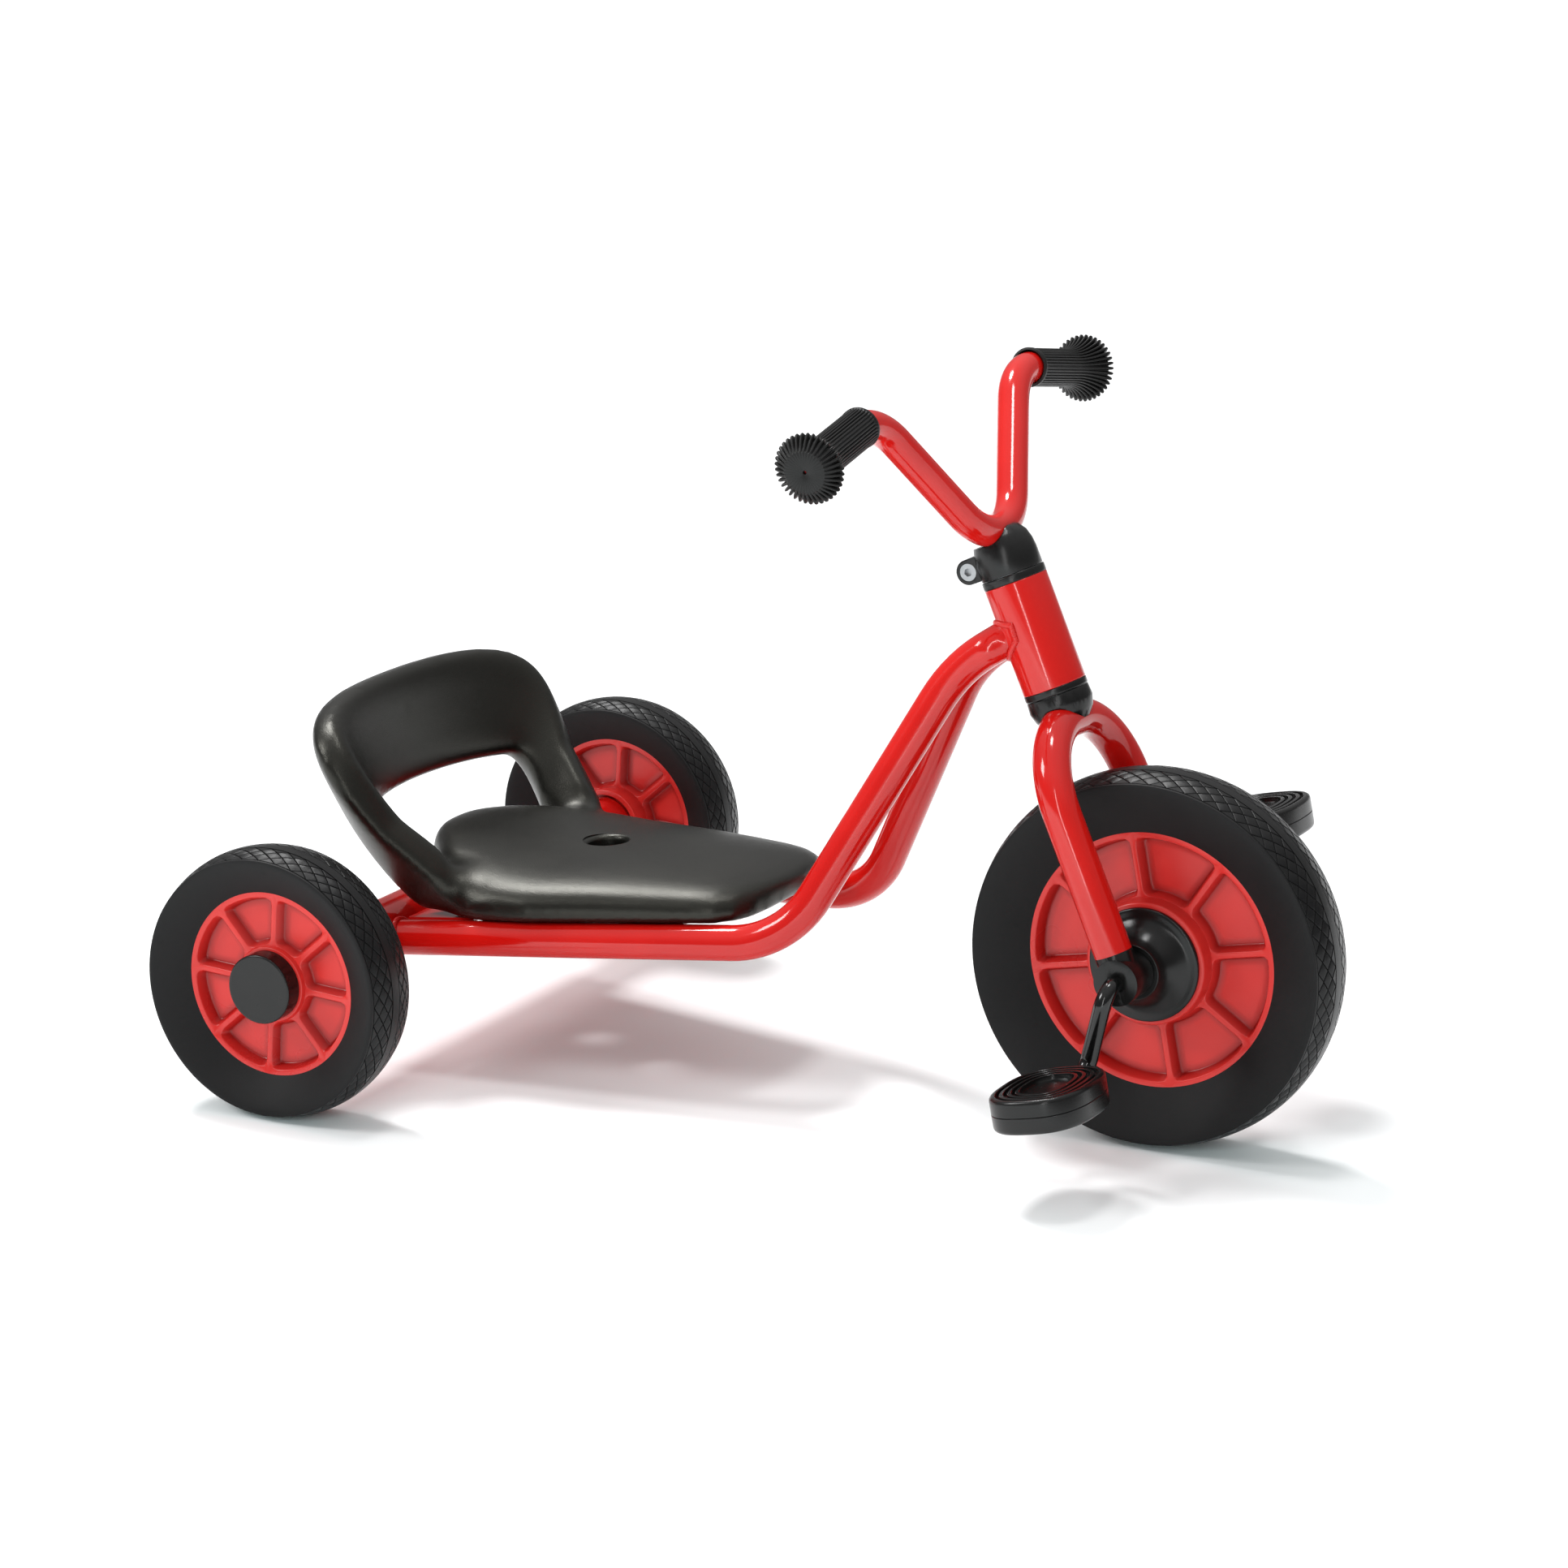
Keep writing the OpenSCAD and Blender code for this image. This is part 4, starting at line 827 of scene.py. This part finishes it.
for name, node in (("upperBearing", "upper_bearing"), ("lowerBearing", "lower_bearing")):
    settle(placeMesh(turned(name, rounded(fittingShape[name]), plasticBlack), steerFrame), "frame", node)


# a welded, bevelled copy of a CAD node
def softened(node, body, material, width, name):
    s, mesh = fittingShape, frame["nodes"][node].data.copy()
    piece = stand(name, mesh)
    work = bmesh.new()
    work.from_mesh(mesh)
    bmesh.ops.remove_doubles(work, verts=work.verts, dist=s["weld"])
    bmesh.ops.dissolve_limit(work, angle_limit=radians(s["flatten"]), verts=work.verts, edges=work.edges)
    work.to_mesh(mesh)
    work.free()
    coatWith(mesh, material)
    bevel = piece.modifiers.new("edges", "BEVEL")
    bevel.width, bevel.segments, bevel.limit_method = width * mm, s["segments"], "ANGLE"
    bevel.angle_limit, bevel.use_clamp_overlap = radians(s["bevelFrom"]), True
    made = applied(piece).data
    made.shade_smooth()
    made.set_sharp_from_angle(angle=radians(s["sharp"]))
    settle(piece, body, node)


for node, width in fittingShape["soft"].items():
    first, *rest = node.split("_")
    softened(node, "steering", plasticBlack, width, first + "".join(word.title() for word in rest))
print("small fittings made")

# seat: a crowned pan and a leaning horseshoe back in one moulding; the pan tables are shares, rear to front
seatShape = dict(plateTop=13.15, tailX=10.0, rear=-2.0, front=235.0, half=94.5, crown=28.0, edgeShare=0.25,
    roundShare=0.42, crownPower=2.8, arc=40, underShares=(0.985, 0.94), backTop=122.4, backOpen=55.5, thick=23.0,
    ref=16.85, backHalf=81.8, flare=0.59, backX=-26.9, backLean=0.217, backRound=53.1, backPower=1.99, corner=0.749,
    rim=(0.013, 3.6, 1.95), sill=(0.43, 0.745), armX=74.0, armTop=11.0, armLow=4.0, armMin=8.0, drop=2.5, stations=96,
    around=28, section=4.0, voxel=2.4, relax=0.5, relaxRounds=8, hollow=0.09, hollowLeast=0.01, spread=6, easing=80,
    easeShare=0.5, runStep=1 / 44, sharp=50, drainX=104.0, drain=12.0, drillLow=-20.0, drillTop=60.0, drillSteps=64,
    mouth=27.6, mouthLow=-4.0,
    mouthLine=((0.05, -4.0), (0.05, -3.0), (0.35, -1.7), (1.0, -0.7), (2.0, -0.05), (3.2, 0.35)))
panX = (0, 0.0084, 0.0253, 0.0464, 0.0717, 0.1013, 0.1308, 0.1646, 0.2025, 0.2447, 0.3038, 0.3671, 0.4304, 0.5359,
    0.6414, 0.7468, 0.8523, 0.903, 0.9451, 0.9747, 0.9916, 1)
panW = (0.127, 0.233, 0.339, 0.423, 0.508, 0.614, 0.72, 0.825, 0.92, 0.984, 1, 0.99, 0.974, 0.915, 0.857, 0.8, 0.741,
    0.7, 0.615, 0.49, 0.32, 0.12)
panTop = (1.2, 1.3, 1.37, 1.4, 1.41, 1.4, 1.37, 1.33, 1.28, 1.21, 1.13, 1.06, 1, 0.97, 0.93, 0.87, 0.79, 0.73, 0.66,
    0.58, 0.5, 0.42)
panLow = (0.95, 0.85, 0.75, 0.68, 0.6, 0.5, 0.36, 0.2, 0, 0, 0, 0, 0, 0, 0, 0, 0, 0, 0, 0.05, 0.12, 0.22)
railPitch = atan2(frameShape["kneeUp"], frameShape["kneeX"] - frameShape["tailX"])
railFoot = rearAxle + Vector((seatShape["tailX"] * mm, 0, 0))
railFrame = Matrix.Translation(railFoot) @ Matrix.Rotation(-railPitch, 4, "Y")


def panRing(k):
    s = seatShape
    x = s["rear"] + (s["front"] - s["rear"]) * panX[k] - s["tailX"]
    w, low, top = s["half"] * panW[k], s["crown"] * panLow[k] - s["drop"], s["crown"] * panTop[k]
    mid = low + (top - low) * s["edgeShare"]
    ring = []
    for j in range(s["arc"] + 1):
        u = cos(pi * j / s["arc"])
        ring.append((x, w * u, mid + (top - mid) * max(0, 1 - abs(u) ** s["crownPower"]) ** s["roundShare"]))
    under = [(w * share, z) for share, z in zip(s["underShares"], ((mid + low) / 2, low))]
    ring += [(x, -y, z) for y, z in under] + [(x, y, z) for y, z in reversed(under)]
    return [railFrame @ (Vector((px, py, pz + s["plateTop"])) * mm) for px, py, pz in ring]


def backPoint(t, z):
    s = seatShape
    a = abs(t)
    turn = pi / 2 * min(1, a / s["corner"])
    w = s["backHalf"] + s["flare"] * (z - s["ref"])
    back = s["backX"] - s["backLean"] * (z - s["ref"])
    arm = max(0, a - s["corner"]) / (1 - s["corner"])
    x = back + s["backRound"] * (1 - max(0, cos(turn)) ** (2 / s["backPower"]))
    y = copysign(w * sin(turn) ** (2 / s["backPower"]), t)
    return Vector((x + arm * (s["armX"] - back - s["backRound"]), y, z))


def backTop(t):
    s = seatShape
    start, power, fall = s["rim"]
    a = max(0, (abs(t) - start) / (1 - start))
    return s["armTop"] + (s["backTop"] - s["armTop"]) * max(0, 1 - a ** power) ** fall


def backLow(t):
    s = seatShape
    start, end = s["sill"]
    c = max(0, min(1, (abs(t) - start) / (end - start)))
    return min(backTop(t) - s["armMin"], s["backOpen"] - (s["backOpen"] - s["armLow"]) * eased(c))


def backMid(t):
    return (backPoint(t, backLow(t)) + backPoint(t, backTop(t))) / 2


def backRing(k):
    s = seatShape
    t, dt = 2 * k / s["stations"] - 1, s["runStep"]
    span = backPoint(t, backTop(t)) - backPoint(t, backLow(t))
    up = span.normalized()
    run = (backMid(min(1, t + dt)) - backMid(max(-1, t - dt))).normalized()
    out = up.cross(run).normalized()
    ring = []
    for j in range(s["around"]):
        a = 2 * pi * j / s["around"]
        p = s["thick"] / 2 * squarish(cos(a), s["section"])
        q = span.length / 2 * squarish(sin(a), s["section"])
        ring.append(rearAxle + (backMid(t) + p * out + q * up + Vector((0, 0, s["plateTop"]))) * mm)
    return ring


def lofted(name, rings, material):
    return newPiece(name, [p for ring in rings for p in ring], capped(len(rings), len(rings[0])), material)


# softens the hollow creases where the arms run into the pan, and nothing else
def fillets(piece):
    s, mesh = seatShape, piece.data
    total = len(mesh.vertices)
    spots, normals, ends = np.empty(total * 3), np.empty(total * 3), np.empty(len(mesh.edges) * 2, dtype=int)
    mesh.vertices.foreach_get("co", spots)
    mesh.vertices.foreach_get("normal", normals)
    mesh.edges.foreach_get("vertices", ends)
    spots, normals, ends = spots.reshape(-1, 3), normals.reshape(-1, 3), ends.reshape(-1, 2)
    here, there = np.concatenate([ends[:, 0], ends[:, 1]]), np.concatenate([ends[:, 1], ends[:, 0]])
    count = np.bincount(here, minlength=total)[:, None]

    def mean(values):
        return np.stack([np.bincount(here, values[there, k], total) for k in range(values.shape[1])], 1) / count

    hollow = (((mean(spots) - spots) * normals).sum(1) > s["hollow"] * mm)[:, None].astype(float)
    for _ in range(s["spread"]):
        hollow = (mean(hollow) + hollow > s["hollowLeast"]).astype(float)
    for _ in range(s["spread"]):
        hollow = mean(hollow)
    for _ in range(s["easing"]):
        spots = spots + s["easeShare"] * hollow * (mean(spots) - spots)
    mesh.vertices.foreach_set("co", spots.ravel())
    mesh.update()


def makeSeat():
    s = seatShape
    pan = lofted("seatPan", [panRing(k) for k in range(len(panX))], seatBlack)
    back = lofted("seatBack", [backRing(k) for k in range(s["stations"] + 1)], seatBlack)
    seat = joined("bucketSeat", [pan, back])
    melt = seat.modifiers.new("melt", "REMESH")
    melt.mode, melt.voxel_size, melt.use_smooth_shade = "VOXEL", s["voxel"] * mm, True
    relax = seat.modifiers.new("relax", "SMOOTH")
    relax.factor, relax.iterations = s["relax"], s["relaxRounds"]
    fillets(applied(seat))
    low, top = s["drillLow"], s["drillTop"]
    hole = [(0, low), (s["drain"], low), (s["drain"], top), (0, top)]
    mouth = [(0, s["mouth"] + s["mouthLow"])] + [(s["drain"] + out, s["mouth"] + up) for out, up in s["mouthLine"]]
    mouth += [(mouth[-1][0], top), (0, top)]
    upright = Matrix.Translation(rearAxle + Vector((s["drainX"], 0, s["plateTop"])) * mm)
    along = (s["drainX"] - s["tailX"] + (s["mouth"] + s["plateTop"]) * sin(railPitch)) / cos(railPitch)
    square = railFrame @ Matrix.Translation(Vector((along, 0, s["plateTop"])) * mm)  # the mouth lies square to the pan
    for line, matrix in ((hole, upright), (mouth, square)):
        drill = placeMesh(turned("drainDrill", line, seatBlack, s["drillSteps"]), matrix)
        cut = seat.modifiers.new("drain", "BOOLEAN")
        cut.operation, cut.object, cut.solver = "DIFFERENCE", drill, "EXACT"
        applied(seat)
        bpy.data.objects.remove(drill)
    coatWith(seat.data, seatBlack)
    seat.data.shade_smooth()
    seat.data.set_sharp_from_angle(angle=radians(s["sharp"]))
    settle(seat, "frame", "seat")
    print("seat made:", len(seat.data.polygons), "faces")


makeSeat()

# finishes on the CAD nodes that stay
for entry in frame["record"]["subparts"]:
    coatWith(frame["nodes"][entry["node"]].data, materialOf[entry["material_slot"]])
print("finishes set")

# floor, lights and camera
floorShape = dict(half=30, colour=(0.93, 0.93, 0.935, 1), rough=0.9, specular=0.1)
skyShape = dict(rise=(0.2, 0.95), low=0.27, high=0.55, backdrop=1.2)
boxLights = dict(  # spot, aim, size, power
    keyLight=((-1.9, -1.6, 1.8), (0, 0, 0.15), (0.8, 0.8), 33),
    stripLight=((0.80, -2.55, 0.93), (0.1, 0, 0.93), (0.08, 1.82), 11),
    topLight=((0.07, -0.12, 2.3), (0.07, -0.12, 0), (0.36, 0.36), 10),
    floorFill=((0.4, -2.2, 0.9), (0, -0.15, 0), (0.8, 0.8), 20))
fillColour = (0.74, 1, 1)  # cools the red that the tubes cast in their shadow
sunShape = dict(energy=2.1, spread=14, way=(-27.8, 13.2, 58.0))
cameraShape = dict(azimuth=27.031, elevation=14.956, roll=0.682, spot=(1.18485, -2.3688, 0.8900), lens=107.44,
    sensor=36, far=200)

floorMesh = bpy.data.meshes.new("floor")
reach = floorShape["half"]
floorMesh.from_pydata([(-reach, -reach, 0), (reach, -reach, 0), (reach, reach, 0), (-reach, reach, 0)], [],
    [(0, 1, 2, 3)])
floor = stand("floor", floorMesh)
floorLook = bpy.data.materials.new("paleFloor")
floorLook.use_nodes = True
floorShader = floorLook.node_tree.nodes["Principled BSDF"]
floorShader.inputs["Base Color"].default_value = floorShape["colour"]
floorShader.inputs["Roughness"].default_value = floorShape["rough"]
floorShader.inputs["Specular IOR Level"].default_value = floorShape["specular"]
floorMesh.materials.append(floorLook)

world = bpy.data.worlds.new("studio")
world.use_nodes = True
background = world.node_tree.nodes["Background"]
background.inputs[0].default_value = (1, 1, 1, 1)
skyPlace = source(world.node_tree, "ShaderNodeTexCoord", "Generated")
skyHigh = skyPlace.out("ShaderNodeSeparateXYZ", None, 2, Vector=skyPlace).between(*skyShape["rise"])
seen = source(world.node_tree, "ShaderNodeLightPath", "Is Camera Ray")
skyPower = skyShape["low"] + skyHigh * skyShape["high"] + seen * skyShape["backdrop"]  # the backdrop looks white
world.node_tree.links.new(skyPower.socket, background.inputs[1])
bpy.context.scene.view_settings.view_transform = "Standard"
bpy.context.scene.world = world

for name, (spot, aim, size, power) in boxLights.items():
    lamp = bpy.data.lights.new(name, "AREA")
    lamp.shape, lamp.size, lamp.size_y, lamp.energy = "RECTANGLE", size[0], size[1], power
    holder = stand(name, lamp)
    holder.location, holder.visible_camera = spot, False
    holder.rotation_euler = (Vector(aim) - Vector(spot)).to_track_quat("-Z", "Y").to_euler()
floorOnly = bpy.data.collections.new("floorOnly")
floorOnly.objects.link(floor)
bpy.data.objects["floorFill"].light_linking.receiver_collection = floorOnly
bpy.data.lights["floorFill"].color = fillColour
sun = bpy.data.lights.new("overheadLight", "SUN")
sun.energy, sun.angle = sunShape["energy"], radians(sunShape["spread"])
stand("overheadLight", sun).rotation_euler = Vector(sunShape["way"]).to_track_quat("Z", "Y").to_euler()

azimuth, elevation, roll = (radians(cameraShape[k]) for k in ("azimuth", "elevation", "roll"))
flat = cos(elevation)
backWay = Vector((sin(azimuth) * flat, -cos(azimuth) * flat, sin(elevation)))
flatRight = (-backWay).cross(Vector((0, 0, 1))).normalized()
flatUp = flatRight.cross(-backWay)
right = flatRight * cos(roll) + flatUp * sin(roll)
upWay = flatUp * cos(roll) - flatRight * sin(roll)
lens = bpy.data.cameras.new("camera")
lens.lens, lens.sensor_width, lens.sensor_fit = cameraShape["lens"], cameraShape["sensor"], "HORIZONTAL"
lens.clip_end = cameraShape["far"]
camera = stand("camera", lens)
aimed = Matrix((right, upWay, backWay)).transposed().to_4x4()
camera.matrix_world = Matrix.Translation(cameraShape["spot"]) @ aimed
bpy.context.scene.camera = camera

print("scene ready")
